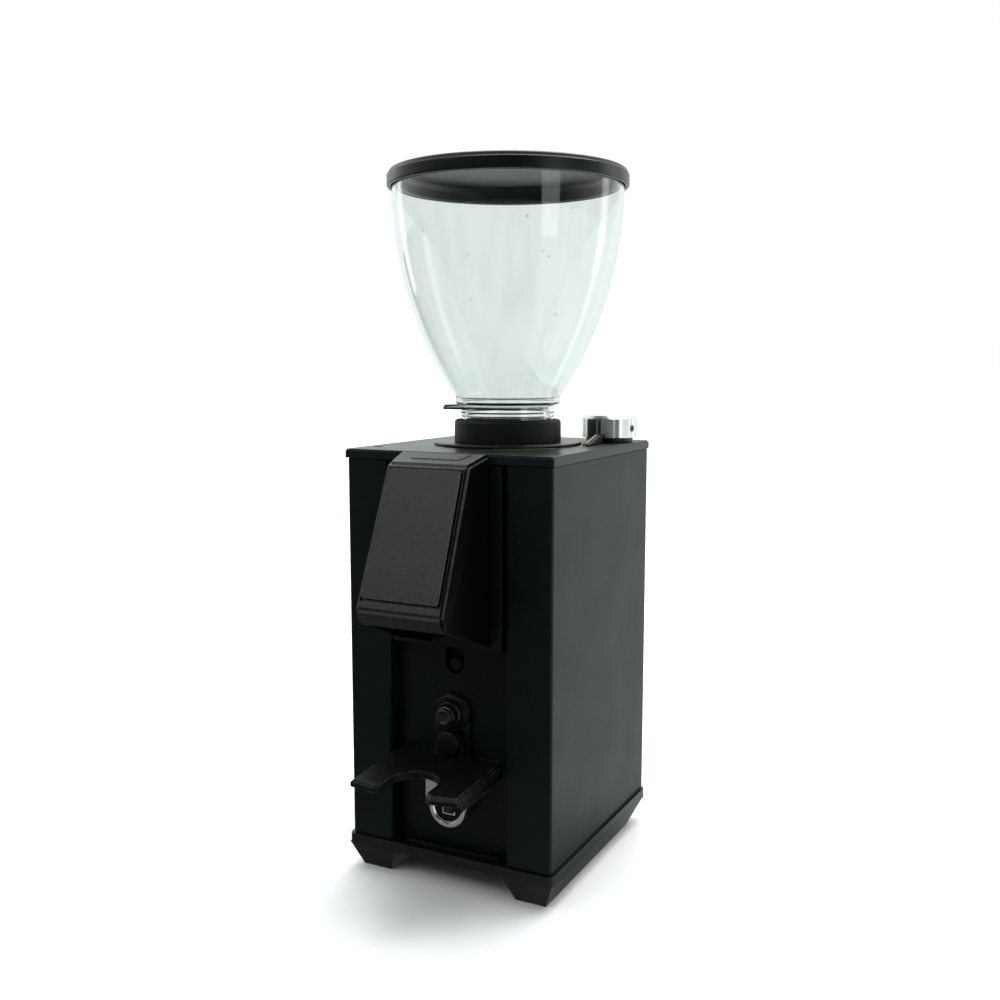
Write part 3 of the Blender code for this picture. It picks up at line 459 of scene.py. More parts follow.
# %% the seven black finishes
# the lighter edge colour stands for real wear and for painted edge highlights
GREY_WEAR_AND_SHEEN = (0.10, 0.10, 0.10)
POWDER = black_finish("satin_powder_coat", "powder_coat", (0.0028, 0.0080, 0.0066), 0.40, 0.21,
                      0.0016, 0.00010, 0.18, GREY_WEAR_AND_SHEEN, 0.10, marks=0.16)
TOP_COAT = black_finish("satin_top_coat", "powder_coat", (0.0035, 0.0080, 0.0066), 0.32, 0.30,
                        0.0016, 0.00006, 0.18, GREY_WEAR_AND_SHEEN, 0.10, marks=0.12)
FORK_COAT = black_finish("fork_coat", "powder_coat", (0.0018, 0.0022, 0.0022), 0.45, 0.2,
                         0.0016, 0.00016, 1.0, (0.16, 0.155, 0.145), 0.25)
MOULDED = black_finish("moulded_black_plastic", "black_plastic", (0.0024, 0.0050, 0.0044), 0.32, 0.35,
                       0.0012, 0.00006, 0.3, GREY_WEAR_AND_SHEEN, 0.12)
WORN_SMOOTH = black_finish("worn_smooth_plastic", "black_plastic", (0.006, 0.008, 0.0075), 0.30, 0.6,
                           0.0012, 0.00003, 0.2, GREY_WEAR_AND_SHEEN, 0.1)
SPARKED = black_finish("sparked_spout_plastic", "grained_plastic", (0.0095, 0.0115, 0.0110), 0.40, 0.5,
                       0.0007, 0.00020, 0.5, (0.16, 0.16, 0.16), 0.08)
# paints shade on the spout's sides and light on its top
paint_light_and_shade_by_direction(SPARKED)
RUBBER = black_finish("black_rubber", "black_rubber", (0.0035, 0.0052, 0.0047), 0.6, 0.28,
                      0.0010, 0.00006, 0.2, (0.05, 0.05, 0.05), 0.8, marks=0.2)
print("black finishes made:", ", ".join(material.name for material in (
    POWDER, TOP_COAT, FORK_COAT, MOULDED, WORN_SMOOTH, SPARKED, RUBBER)))

# %% [markdown]
# ## Clear plastic
# The hopper is polished clear plastic. It could be a half-transparent sheet, but then it would neither
# bend nor mirror the studio. A glass shader with an index of 1.5 and a slightly cool tint does both, as
# long as the wall is a real wall with an inside and an outside. The tint is a little darker in faint
# upright streaks, which take a little light away.

# %% clear polycarbonate
CLEAR_TINT = (0.915, 0.925, 0.927)
STREAK_TINT = (0.86, 0.872, 0.875)
GRITTY_TINT = (0.2, 0.2, 0.18)
CLEAR_INDEX = 1.5


def clear_plastic():
    material, tree, shader = new_material("clear_polycarbonate", "clear_plastic", CLEAR_TINT, 0.0)
    shader.inputs["Transmission Weight"].default_value = 1.0
    shader.inputs["IOR"].default_value = CLEAR_INDEX
    specks = effect(tree, "dust", Size=0.006, Share=0.06, Amount=0.8)
    drawn_out = add_node(tree, "Mapping", Vector=object_place(tree), Scale=(70, 70, 9))
    streaks = spread(tree, noise(tree, 1.0, 4.0, 0.6, drawn_out.outputs["Vector"]), 0.50, 0.72)
    with_streaks = blend_colours(tree, streaks, CLEAR_TINT, STREAK_TINT)
    tree.links.new(blend_colours(tree, specks, with_streaks, GRITTY_TINT), shader.inputs["Base Color"])
    return material


CLEAR = clear_plastic()
print("clear plastic made:", CLEAR.name)

# %% [markdown]
# ## Metals
# Machined metal shows the path of the tool. On the knob that is a set of fine rings about its axis, on
# sheet it is a straight grain, and a casting has only a soft lumpy skin. One function takes a stretch
# for the noise in each direction: long in one direction gives brushing, equal gives a casting.

# %% plain, brushed and cast metals
def metal(name, slot, colour, roughness, stretch=(1, 1, 1), size=0.0008, depth=0.00002, streak=0.25):
    material, tree, shader = new_material(name, slot, colour, roughness, metallic=1.0)
    squeezed = add_node(tree, "Mapping", Vector=object_place(tree), Scale=[1 / s for s in stretch])
    grain = noise(tree, 1 / size, 4.0, 0.6, squeezed.outputs["Vector"])
    shade = spread(tree, grain, 0.3, 0.7)
    streaked = blend_colours(tree, shade, [c * (1 - streak) for c in colour], colour)
    tree.links.new(streaked, shader.inputs["Base Color"])
    marks = effect(tree, "finger_marks", Size=0.015, Amount=0.12)
    rough = maths(tree, "ADD", maths(tree, "MULTIPLY", shade, 0.12), roughness - 0.06)
    tree.links.new(maths(tree, "ADD", rough, marks, clamp=True), shader.inputs["Roughness"])
    bumped(tree, shader, grain, depth)
    return material


STAINLESS = metal("satin_stainless", "stainless", (0.72, 0.70, 0.66), 0.26, (12, 12, 1), 0.0003)
POLISHED = metal("polished_stainless", "stainless", (0.80, 0.78, 0.73), 0.24,
                 size=0.004, depth=0.000003, streak=0.08)
MACHINED = metal("machined_steel", "steel", (0.45, 0.46, 0.47), 0.32, (1, 1, 8), 0.0006)
BLACK_SCREW = metal("blackened_steel", "steel", (0.05, 0.05, 0.052), 0.4, (1, 1, 4), 0.0006)
CAST = metal("cast_aluminium", "cast_aluminium", (0.55, 0.56, 0.57), 0.5, size=0.0025, depth=0.0002)
GROUND = metal("ground_burr_steel", "burr_steel", (0.35, 0.36, 0.37), 0.3, (6, 1, 1), 0.0005)
BRASS = metal("plain_brass", "brass", (0.80, 0.58, 0.22), 0.28, (1, 1, 3), 0.0005)
print("metals made:", ", ".join(material.name for material in (
    STAINLESS, POLISHED, MACHINED, BLACK_SCREW, CAST, GROUND, BRASS)))


# %% turned aluminium: rings about the knob's own axis
def turned_metal(name, slot, colour, roughness, axis):
    material, tree, shader = new_material(name, slot, colour, roughness, metallic=1.0)
    moved = add_node(tree, "Mapping", Vector=object_place(tree), Location=(-axis.x, -axis.y, 0))
    parts = add_node(tree, "SeparateXYZ", Vector=moved.outputs["Vector"])
    x_squared, y_squared = (maths(tree, "MULTIPLY", parts.outputs[way], parts.outputs[way]) for way in "XY")
    away = maths(tree, "SQRT", maths(tree, "ADD", x_squared, y_squared))
    along = add_node(tree, "CombineXYZ", X=maths(tree, "ADD", away, parts.outputs["Z"]))
    rings = noise(tree, 6000.0, 2.0, 0.5, along.outputs["Vector"])
    ringed = blend_colours(tree, rings, [c * 0.88 for c in colour], colour)
    tree.links.new(ringed, shader.inputs["Base Color"])
    tree.links.new(maths(tree, "ADD", maths(tree, "MULTIPLY", rings, 0.12), roughness - 0.05),
                   shader.inputs["Roughness"])
    bumped(tree, shader, rings, 0.00001)
    return material


TURNED = turned_metal("turned_aluminium", "turned_aluminium", (0.86, 0.87, 0.88), 0.2, KNOB_AXIS)
print("turned aluminium rings centred on the knob")


# %% [markdown]
# The windings are bands of enamelled wire, and the board, the capacitor's can and the gold print only
# need a colour that wanders a little, so that they don't look like flat paint.

# %% windings, board, can and print
def copper_winding():
    material, tree, shader = new_material("copper_winding", "copper_wire", (0.62, 0.28, 0.12), 0.35, 1.0)
    turns = add_node(tree, "TexWave", {"wave_type": "BANDS", "bands_direction": "Z"},
                     Scale=260.0, Distortion=1.5)
    tree.links.new(object_place(tree), turns.inputs["Vector"])
    tree.links.new(blend_colours(tree, turns.outputs["Fac"], (0.30, 0.10, 0.04), (0.72, 0.34, 0.15)),
                   shader.inputs["Base Color"])
    bumped(tree, shader, turns.outputs["Fac"], 0.0003)
    return material


def speckled(name, slot, first, second, roughness, size):
    """A plastic or a board whose colour wanders a little between two close tones."""
    material, tree, shader = new_material(name, slot, first, roughness)
    wandering = blend_colours(tree, noise(tree, 1 / size, 3.0), first, second)
    tree.links.new(wandering, shader.inputs["Base Color"])
    bumped(tree, shader, effect(tree, "moulded_grain", Size=0.0007, Contrast=1.0), 0.00003)
    return material


WINDING = copper_winding()
BOARD = speckled("green_board", "board_green", (0.012, 0.10, 0.05), (0.03, 0.17, 0.09), 0.35, 0.004)
CAN = speckled("capacitor_can", "pale_plastic", (0.52, 0.52, 0.49), (0.66, 0.66, 0.63), 0.45, 0.01)
GOLD_PRINT = speckled("gold_print", "brass", (0.55, 0.40, 0.20), (0.78, 0.58, 0.32), 0.5, 0.002)
print("other finishes made:", ", ".join(material.name for material in (WINDING, BOARD, CAN, GOLD_PRINT)))

# %% [markdown]
# ## Helpers for shapes
# Real corners are never sharp: a folded sheet, a moulding and a turned part all have a small radius,
# and it is that radius that catches the light. Flat-sided parts keep the working model's faces and
# have their edges rounded. Turned parts are spun again from their outlines, with many more steps.

# %% make a piece and hang it on its body
SMOOTH_BELOW = radians(32)


def add_piece(name, bm, body, material, stands_for=()):
    """Turns a mesh in metres into a piece that rides on a body and stands for some CAD nodes."""
    bmesh.ops.recalc_face_normals(bm, faces=bm.faces)
    mesh = bpy.data.meshes.new(name)
    bm.to_mesh(mesh)
    bm.free()
    mesh.shade_smooth()
    mesh.set_sharp_from_angle(angle=SMOOTH_BELOW)
    mesh.materials.append(material)
    piece = bpy.data.objects.new(name, mesh)
    bpy.context.scene.collection.objects.link(piece)
    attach(piece, body)
    if stands_for:
        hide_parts(*stands_for)
    print(f"{name}: {len(mesh.polygons)} faces on {body}")
    return piece


def body_of_node(node):
    return frame["nodes"][node]["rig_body"]


# %% round the edges of a flat-sided part
def flat_faces(node):
    """The working model's mesh of a node with its triangles joined back into whole flat faces."""
    bm = bmesh.new()
    bm.from_mesh(frame["nodes"][node].data)
    bmesh.ops.remove_doubles(bm, verts=bm.verts, dist=2e-6)
    bmesh.ops.dissolve_limit(bm, angle_limit=radians(0.6), verts=bm.verts, edges=bm.edges)
    return bm


def round_edges(bm, width, segments=3, sharper_than=28):
    """Rounds every edge whose faces turn by more than an angle, in degrees."""
    edges = [e for e in bm.edges if e.is_manifold and e.calc_face_angle(0) > radians(sharper_than)]
    bmesh.ops.bevel(bm, geom=edges, offset=width, segments=segments, profile=0.5, affect="EDGES",
                    clamp_overlap=True)
    return bm


# %% apply modifiers and keep large faces flat
def apply_modifiers(piece):
    bpy.context.view_layer.update()
    evaluated = piece.evaluated_get(bpy.context.evaluated_depsgraph_get())
    made = bpy.data.meshes.new_from_object(evaluated)
    old = piece.data
    piece.modifiers.clear()
    piece.data = made
    bpy.data.meshes.remove(old)
    made.name = piece.name


def keep_faces_flat(piece):
    """Lets the large faces decide the normals, so that only the roundings between them look curved."""
    modifier = piece.modifiers.new("flat", "WEIGHTED_NORMAL")
    modifier.keep_sharp = True
    modifier.weight = 100
    apply_modifiers(piece)
    return piece


def rounded_copy(node, material, width, segments=3):
    """A piece with a node's own shape and rounded edges."""
    bm = round_edges(flat_faces(node), width, segments)
    return keep_faces_flat(add_piece(node + "_rounded", bm, body_of_node(node), material, [node]))


# %% turn a part from an outline with rounded corners
def round_corners(corners, steps=5):
    """An outline from corners (a, b, radius): each corner becomes an arc of that radius."""
    points = []
    count = len(corners)
    for i, (a, b, radius) in enumerate(corners):
        here = Vector((a, b))
        before = Vector(corners[i - 1][:2]) - here
        after = Vector(corners[(i + 1) % count][:2]) - here
        half = before.angle(after) / 2
        if radius == 0 or half > radians(88):
            points.append(here)
            continue
        reach = min(radius / tan(half), 0.49 * before.length, 0.49 * after.length)
        centre = here + (before.normalized() + after.normalized()).normalized() * reach / cos(half)
        start = here + before.normalized() * reach - centre
        end = here + after.normalized() * reach - centre
        sweep = start.angle(end)
        for k in range(steps + 1):
            part = sweep * k / steps
            points.append(centre + (start * sin(sweep - part) + end * sin(part)) / sin(sweep))
    return points


def turn(outline, centre, steps=96, lay=lambda x, y, h: (x, y, h)):
    """Spins a closed outline of (radius, height) in millimetres about an upright line."""
    bm = bmesh.new()
    rings = []
    for radius, height in outline:
        if radius < 1e-6:
            rings.append([bm.verts.new(lay(centre.x, centre.y, height * MM))])
            continue
        ring = []
        for k in range(steps):
            angle = 2 * pi * k / steps
            ring.append(bm.verts.new(lay(centre.x + radius * MM * cos(angle),
                                         centre.y + radius * MM * sin(angle), height * MM)))
        rings.append(ring)
    for i, ring in enumerate(rings):
        after = rings[(i + 1) % len(rings)]
        if len(ring) == 1 and len(after) == 1:
            continue
        for k in range(steps):
            m = (k + 1) % steps
            corners = (ring[k % len(ring)], ring[m % len(ring)], after[m % len(after)], after[k % len(after)])
            bm.faces.new(list(dict.fromkeys(corners)))
    return bm


def forwards(axis):
    """Lays a turned part along Y about a line at axis.x and axis.z; its height is then its y."""
    return lambda x, y, h: (axis.x + x, h, axis.z + y)


ON_AXIS = Vector((0, 0, 0))


def y_in(millimetres):
    """A y counted from the middle of the housing, as the turned outlines below use it."""
    return HOUSING_Y / MM + millimetres


# %% close a row of loops
def close_loops(bm, loops):
    """Joins rows of corners into the walls of one body and closes both ends."""
    for before, after in zip(loops, loops[1:]):
        for k in range(len(before)):
            m = (k + 1) % len(before)
            bm.faces.new((before[k], before[m], after[m], after[k]))
    bm.faces.new(loops[0][::-1])
    bm.faces.new(loops[-1])


# %% cut one shape out of another
def carve(piece, cutters):
    """Cuts meshes out of a piece with exact Booleans, and keeps its sharp edges sharp."""
    for bm in cutters:
        bmesh.ops.recalc_face_normals(bm, faces=bm.faces)
        mesh = bpy.data.meshes.new("cutter")
        bm.to_mesh(mesh)
        bm.free()
        cutter = bpy.data.objects.new("cutter", mesh)
        bpy.context.scene.collection.objects.link(cutter)
        modifier = piece.modifiers.new("carve", "BOOLEAN")
        modifier.operation = "DIFFERENCE"
        modifier.solver = "EXACT"
        modifier.object = cutter
        apply_modifiers(piece)
        bpy.data.objects.remove(cutter)
        bpy.data.meshes.remove(mesh)
    piece.data.set_sharp_from_angle(angle=SMOOTH_BELOW)
    return keep_faces_flat(piece)


def box_shape(low, high):
    size = Vector(high) - Vector(low)
    place = Matrix.Translation((Vector(high) + Vector(low)) / 2)
    bm = bmesh.new()
    bmesh.ops.create_cube(bm, size=1, matrix=place @ Matrix.Diagonal((*size, 1)))
    return bm


# %% [markdown]
# ## The housing
# Two bent sheets make the sides and the front posts, and a moulded tray carries them. Modelling them
# again would gain nothing, so they keep the working model's faces. Cut sheet has an edge that is only
# as round as its paint is thick; the moulded parts are rounder.

# %% housing sheets
for node in ("side_shell_left", "side_shell_right", "spout_backplate"):
    rounded_copy(node, POWDER, 0.35 * MM, 2)
for node in ("rear_panel", "front_panel", "front_crossbar"):
    rounded_copy(node, POWDER, 0.3 * MM, 2)
rounded_copy("top_plate", TOP_COAT, 0.3 * MM, 2)
rounded_copy("base", MOULDED, 0.7 * MM, 3)
rounded_copy("fork_mount", MOULDED, 0.4 * MM, 2)
rounded_copy("outlet_chute", MOULDED, 0.4 * MM, 2)

# %% [markdown]
# The round pin behind the notch of the front panel holds the panel to the crossbar. Its head is domed.

# %% panel pin
PIN_AXIS = middle("panel_pin")
pin_outline = round_corners([(0, y_in(-57.3), 0), (3.9, y_in(-56.9), 1.2), (3.9, y_in(-54.4), 0.3),
                             (2.0, y_in(-54.4), 0.1), (2.0, y_in(-52.8), 0.2), (0, y_in(-52.8), 0)])
add_piece("panel_pin_turned", turn(pin_outline, ON_AXIS, 48, forwards(PIN_AXIS)), "housing", POWDER,
          ["panel_pin"])

# %% [markdown]
# ## Countersunk screws in the top plate
# Each screw is a small turned disc with a rounded rim, and its hexagon socket is cut with a six-sided
# bar. They are black steel, so they hardly show on the black plate.

# %% top screws
SCREW_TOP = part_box("top_screw_front_left")[1].z / MM
SOCKET_ACROSS = 2.6
SOCKET_DEPTH = 1.6


def hexagon_bar(place, across, low, high):
    bm = bmesh.new()
    radius = across * MM / 2
    bmesh.ops.create_cone(bm, cap_ends=True, segments=6, radius1=radius, radius2=radius,
                          depth=(high - low) * MM)
    bmesh.ops.translate(bm, verts=bm.verts, vec=(place.x, place.y, (low + high) / 2 * MM))
    return bm


for corner in ("front_left", "front_right", "rear_left", "rear_right"):
    node = "top_screw_" + corner
    place = middle(node)
    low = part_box(node)[0].z / MM
    head = round_corners([(0, low, 0), (2.5, low, 0.3), (2.5, SCREW_TOP, 0.5), (0, SCREW_TOP, 0)])
    screw = add_piece(node + "_turned", turn(head, place, 40), "housing", BLACK_SCREW, [node])
    carve(screw, [hexagon_bar(place, SOCKET_ACROSS, SCREW_TOP - SOCKET_DEPTH, SCREW_TOP + 1)])

# %% [markdown]
# ## The hopper
# The bowl opens along a power curve: steep at the mouth, slanting in towards the neck. The outer line
# is worked out point by point and the inner line follows it one wall thickness inside. Below the
# bowl a shoulder ring sits on the gate, and a narrower neck goes down into the rubber collar.

# %% hopper, turned with a real wall
MOUTH_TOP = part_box("hopper")[1].z / MM
MOUTH_RADIUS = (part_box("hopper")[1].x - HOPPER_AXIS.x) / MM
NECK_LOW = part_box("hopper")[0].z / MM
NECK_RADIUS = 25.9
SHOULDER_RADIUS = 29.3
SHOULDER_LOW = 254.0
BOWL_LOW = 258.0
BOWL_CURVE = 2.18
WALL = 2.0
RIM_HEIGHT = 6


def bowl_line(inset, count=40):
    """The bowl's side from its shoulder up to its mouth, with its points closer together low down."""
    points = []
    for k in range(count + 1):
        height = BOWL_LOW + (MOUTH_TOP - BOWL_LOW) * (k / count) ** 1.25
        rest = 1 - (height - BOWL_LOW) / (MOUTH_TOP - BOWL_LOW)
        drawn_in = (MOUTH_RADIUS - SHOULDER_RADIUS) * rest ** BOWL_CURVE
        points.append(Vector((MOUTH_RADIUS - inset - drawn_in, height)))
    return points


outside = round_corners([
    (NECK_RADIUS, NECK_LOW, 0.5), (NECK_RADIUS, 247.2, 0.3), (NECK_RADIUS + 0.5, 247.8, 0.3),
    (NECK_RADIUS + 0.5, 249.2, 0.3), (NECK_RADIUS, 249.8, 0.3), (NECK_RADIUS, 253.4, 0.5),
    (SHOULDER_RADIUS - 0.4, SHOULDER_LOW, 1.2), (SHOULDER_RADIUS, BOWL_LOW - 0.6, 1.5),
    (0, BOWL_LOW + 30, 0), (0, NECK_LOW, 0)])[:-2]
inside = round_corners([
    (0, BOWL_LOW + 40, 0), (SHOULDER_RADIUS - WALL, BOWL_LOW - 0.3, 0.8),
    (SHOULDER_RADIUS - WALL, SHOULDER_LOW + 1.2, 0.4), (NECK_RADIUS - WALL, SHOULDER_LOW + 0.2, 0.4),
    (NECK_RADIUS - WALL, NECK_LOW, 0.5), (0, NECK_LOW, 0)])[1:-1]
rim = round_corners([
    (MOUTH_RADIUS - 1, MOUTH_TOP - RIM_HEIGHT, 0), (MOUTH_RADIUS, MOUTH_TOP, 0.8),
    (MOUTH_RADIUS - WALL, MOUTH_TOP, 0.8), (MOUTH_RADIUS - WALL - 1, MOUTH_TOP - RIM_HEIGHT, 0)])[1:-1]
outline = outside + bowl_line(0)[1:-1] + rim + bowl_line(WALL)[::-1][1:-1] + inside
hopper = add_piece("hopper_bowl", turn(outline, HOPPER_AXIS, 160), "hopper", CLEAR, ["hopper"])
print("mouth", round(2 * MOUTH_RADIUS, 1), "mm across; wall", WALL, "mm")

# %% the slot that the gate slides through
gate_low, gate_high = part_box("slide_gate")
carve(hopper, [box_shape((-40 * MM, gate_low.y - 0.6 * MM, gate_low.z - 0.4 * MM),
                         (-12 * MM, gate_high.y + 0.6 * MM, gate_high.z + 0.4 * MM))])

# %% [markdown]
# ## The gate
# A thin plate with a half-round end slides under the bowl to shut it. Its thumb tab is turned up a
# little so that a finger finds it.

# %% gate with its thumb tab
rounded_copy("slide_gate", MOULDED, 0.35 * MM, 3)
tab = box_shape((gate_low.x, HOPPER_AXIS.y - 5.4 * MM, gate_low.z - 0.1 * MM),
                (gate_low.x + 6.0 * MM, HOPPER_AXIS.y + 5.4 * MM, gate_high.z + 0.8 * MM))
add_piece("gate_tab", round_edges(tab, 0.9 * MM, 4), body_of_node("slide_gate"), MOULDED)

# %% [markdown]
# ## The lid
# The lid is a shallow dish with a thick rounded rim and a groove that sits over the mouth of the bowl.

# %% lid
LID_RADIUS = (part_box("hopper_lid")[1].x - HOPPER_AXIS.x) / MM
LID_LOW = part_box("hopper_lid")[0].z / MM
LID_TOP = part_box("hopper_lid")[1].z / MM
GROOVE_INNER = MOUTH_RADIUS - WALL - 0.4
GROOVE_OUTER = MOUTH_RADIUS + 0.4
lid_outline = round_corners([
    (LID_RADIUS, LID_LOW, 0.9), (LID_RADIUS, LID_TOP - 3.6, 0.7), (LID_RADIUS - 0.5, LID_TOP - 3.1, 0.3),
    (LID_RADIUS - 1.4, LID_TOP - 1.0, 1.6), (LID_RADIUS - 9, LID_TOP - 0.7, 4.0),
    (0, LID_TOP, 0), (0, LID_TOP - 1.5, 0), (GROOVE_INNER - 4.6, LID_TOP - 1.8, 0.8),
    (GROOVE_INNER - 1.8, LID_TOP - 4.2, 1.2), (GROOVE_INNER - 1.6, LID_LOW + 0.2, 0.7),
    (GROOVE_INNER, LID_LOW + 0.2, 0.5), (GROOVE_INNER, MOUTH_TOP + 0.3, 0.2),
    (GROOVE_OUTER, MOUTH_TOP + 0.3, 0.2), (GROOVE_OUTER, LID_LOW, 0.6)], steps=7)
add_piece("hopper_lid_turned", turn(lid_outline, HOPPER_AXIS, 160), "lid", MOULDED, ["hopper_lid"])

# %% [markdown]
# ## Collar and flange
# The rubber collar grips the neck. It leans in very slightly, and its lip is rounded. The flange is a
# thin disc on the top plate; a short arc of plain gold ticks is printed on its front edge.

# %% collar and flange
COLLAR_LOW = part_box("hopper_collar")[0].z / MM
COLLAR_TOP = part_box("hopper_collar")[1].z / MM
FLANGE_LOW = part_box("collar_flange")[0].z / MM
FLANGE_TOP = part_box("collar_flange")[1].z / MM
FLANGE_RADIUS = 41.3
FLANGE_HOLE = 24.6
collar = round_corners([(29.9, COLLAR_LOW, 0.3), (29.7, COLLAR_TOP, 1.6),
                        (NECK_RADIUS + 0.4, COLLAR_TOP, 0.9), (NECK_RADIUS + 0.4, COLLAR_LOW, 0.3)])
add_piece("collar_turned", turn(collar, HOPPER_AXIS, 128), "housing", RUBBER, ["hopper_collar"])
flange = round_corners([(FLANGE_RADIUS, FLANGE_LOW, 0.1), (FLANGE_RADIUS, FLANGE_TOP, 0.9),
                        (FLANGE_HOLE, FLANGE_TOP, 0.2), (FLANGE_HOLE, FLANGE_LOW, 0.1)])
add_piece("flange_turned", turn(flange, HOPPER_AXIS, 128), "housing", MOULDED, ["collar_flange"])


# %% printed ticks
PRINT_THICKNESS = 0.05


def printed_ticks(name, radius, level, start, end, count, length, width):
    """Small flat bars of paint along an arc about the hopper's axis."""
    bm = bmesh.new()
    for k in range(count):
        angle = radians(start + (end - start) * k / (count - 1))
        place = Matrix.Translation((HOPPER_AXIS.x, HOPPER_AXIS.y, (level + PRINT_THICKNESS / 2) * MM))
        place = place @ Matrix.Rotation(angle, 4, "Z") @ Matrix.Translation((radius * MM, 0, 0))
        size = Matrix.Diagonal((length * MM, width * MM, PRINT_THICKNESS * MM, 1))
        bmesh.ops.create_cube(bm, size=1, matrix=place @ size)
    return add_piece(name, bm, "housing", GOLD_PRINT)


printed_ticks("flange_ticks", 38.6, FLANGE_TOP, -48, -16, 13, 1.5, 0.8)
printed_ticks("plate_ticks", 44.4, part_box("top_plate")[1].z / MM, -72, -30, 19, 1.7, 1.0)

# %% [markdown]
# ## The grind knob
# A bar of aluminium turned round and milled with narrow shallow flutes. The outline is a circle with
# dips in it; it is stacked up at a few heights, and drawn in at the top for a wide bright chamfer.

# %% knob
KNOB_RADIUS = 16.0
KNOB_FLUTES = 10
FLUTE_DEPTH = 0.22
FLUTE_TURN = radians(-2)
FLUTE_NARROWING = 5
KNOB_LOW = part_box("adjust_knob")[0].z / MM
KNOB_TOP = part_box("adjust_knob")[1].z / MM
KNOB_STEPS = 256


def fluted_ring(bm, inset, height):
    ring = []
    for k in range(KNOB_STEPS):
        angle = 2 * pi * k / KNOB_STEPS
        dip = (0.5 - 0.5 * cos(KNOB_FLUTES * (angle - FLUTE_TURN))) ** FLUTE_NARROWING
        reach = KNOB_RADIUS - inset - FLUTE_DEPTH * dip
        ring.append(bm.verts.new((KNOB_AXIS.x + reach * MM * cos(angle),
                                  KNOB_AXIS.y + reach * MM * sin(angle), height * MM)))
    return ring


def stacked(levels):
    """Rings of an outline at several heights, joined into one closed body."""
    bm = bmesh.new()
    rings = [fluted_ring(bm, inset, height) for inset, height in levels]
    close_loops(bm, rings)
    return bm


levels = [(0.5, KNOB_LOW), (0.15, KNOB_LOW + 0.15), (0, KNOB_LOW + 0.5), (0, KNOB_TOP - 1.7),
          (0.25, KNOB_TOP - 1.4), (1.4, KNOB_TOP - 0.25), (1.7, KNOB_TOP)]
knob = add_piece("grind_knob", stacked(levels), "adjuster", TURNED, ["adjust_knob"])

# %% the knob's bore and its set screw
SET_SCREW_HEADING = radians(-14.5)
SET_SCREW_LEVEL = 239.6


def cross_bar(radius, start, end, segments=32):
    """A bar across the knob at the height of its set screw."""
    bm = bmesh.new()
    bmesh.ops.create_cone(bm, cap_ends=True, segments=segments, radius1=radius * MM, radius2=radius * MM,
                          depth=(end - start) * MM)
    lie = Matrix.Translation((KNOB_AXIS.x, KNOB_AXIS.y, SET_SCREW_LEVEL * MM))
    lie = lie @ Matrix.Rotation(SET_SCREW_HEADING, 4, "Z") @ Matrix.Rotation(pi / 2, 4, "Y")
    bmesh.ops.transform(bm, matrix=lie @ Matrix.Translation((0, 0, (start + end) / 2 * MM)), verts=bm.verts)
    return bm


bore = round_corners([(0, KNOB_LOW - 1, 0), (3.2, KNOB_LOW - 1, 0), (3.2, 243.3, 0), (0, 243.3, 0)])
carve(knob, [turn(bore, KNOB_AXIS, 48), cross_bar(1.9, 1.0, 20)])
set_screw = add_piece("set_screw", cross_bar(1.6, 3.4, 13.6), "adjuster", BRASS, ["knob_set_screw"])
carve(set_screw, [cross_bar(0.9, 11.0, 14.5, segments=6)])

# %% [markdown]
# ## The pointer
# A small black wedge rises to the knob. A gold line printed along its top shows the setting.

# %% pointer and its gold line
rounded_copy("knob_pointer", FORK_COAT, 0.35 * MM, 3)
POINTER_TAIL = Vector((47.0, y_in(4.0), 0))
POINTER_TIP = Vector((44.6, y_in(29.6), 0))


def pointer_line():
    """A thin raised strip that climbs the wedge and runs on along its flat top."""
    along = (POINTER_TIP - POINTER_TAIL).normalized()
    across = Vector((along.y, -along.x, 0)) * 0.38
    path = [(3.4, 233.12), (12.7, 234.74), (22.0, 236.42), (25.0, 236.42)]
    bm = bmesh.new()
    rows = []
    for distance, height in path:
        place = POINTER_TAIL + along * distance
        corners = [place - across * 1.0, place - across * 3.0]
        rows.append([bm.verts.new(Vector((c.x, c.y, height + rise)) * MM) for rise in (0, PRINT_THICKNESS)
                     for c in (corners if rise == 0 else corners[::-1])])
    close_loops(bm, rows)
    return bm


add_piece("pointer_line", pointer_line(), "housing", GOLD_PRINT)

# %% [markdown]
# ## The start button
# A portafilter pushed into the fork presses this button. Its tip is dished inside a rounded rim, and a
# boot with two folds keeps coffee out of the hole. Both are turned parts that lie on their side.

# %% button and boot
BUTTON_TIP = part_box("start_button")[0].y / MM - HOUSING_Y / MM
button = round_corners([(0, y_in(BUTTON_TIP - 1.6), 0), (2.2, y_in(BUTTON_TIP - 1.8), 1.5),
                        (3.4, y_in(BUTTON_TIP - 2.5), 0.8), (4.5, y_in(BUTTON_TIP - 2.1), 0.9),
                        (4.6, y_in(BUTTON_TIP - 0.2), 0.4), (5.3, y_in(BUTTON_TIP + 0.2), 0.5),
                        (5.3, y_in(-65.2), 0.3), (2.8, y_in(-65.2), 0.3), (2.8, y_in(-53.6), 0.3),
                        (0, y_in(-53.6), 0)])
add_piece("start_button_turned", turn(button, ON_AXIS, 72, forwards(BUTTON_AXIS)), "start_button",
          WORN_SMOOTH, ["start_button"])
boot = round_corners([(9.8, y_in(-61.4), 0.1), (9.8, y_in(-62.5), 0.5), (8.9, y_in(-63.0), 0.4),
                      (8.5, y_in(-62.4), 0.4), (7.9, y_in(-62.6), 0.3), (7.3, y_in(-65.0), 0.9),
                      (6.5, y_in(-66.0), 0.6), (5.7, y_in(-66.0), 0.3), (5.7, y_in(-61.4), 0.1)])
add_piece("button_boot_turned", turn(boot, ON_AXIS, 96, forwards(BUTTON_AXIS)), "housing", MOULDED,
          ["button_boot"])

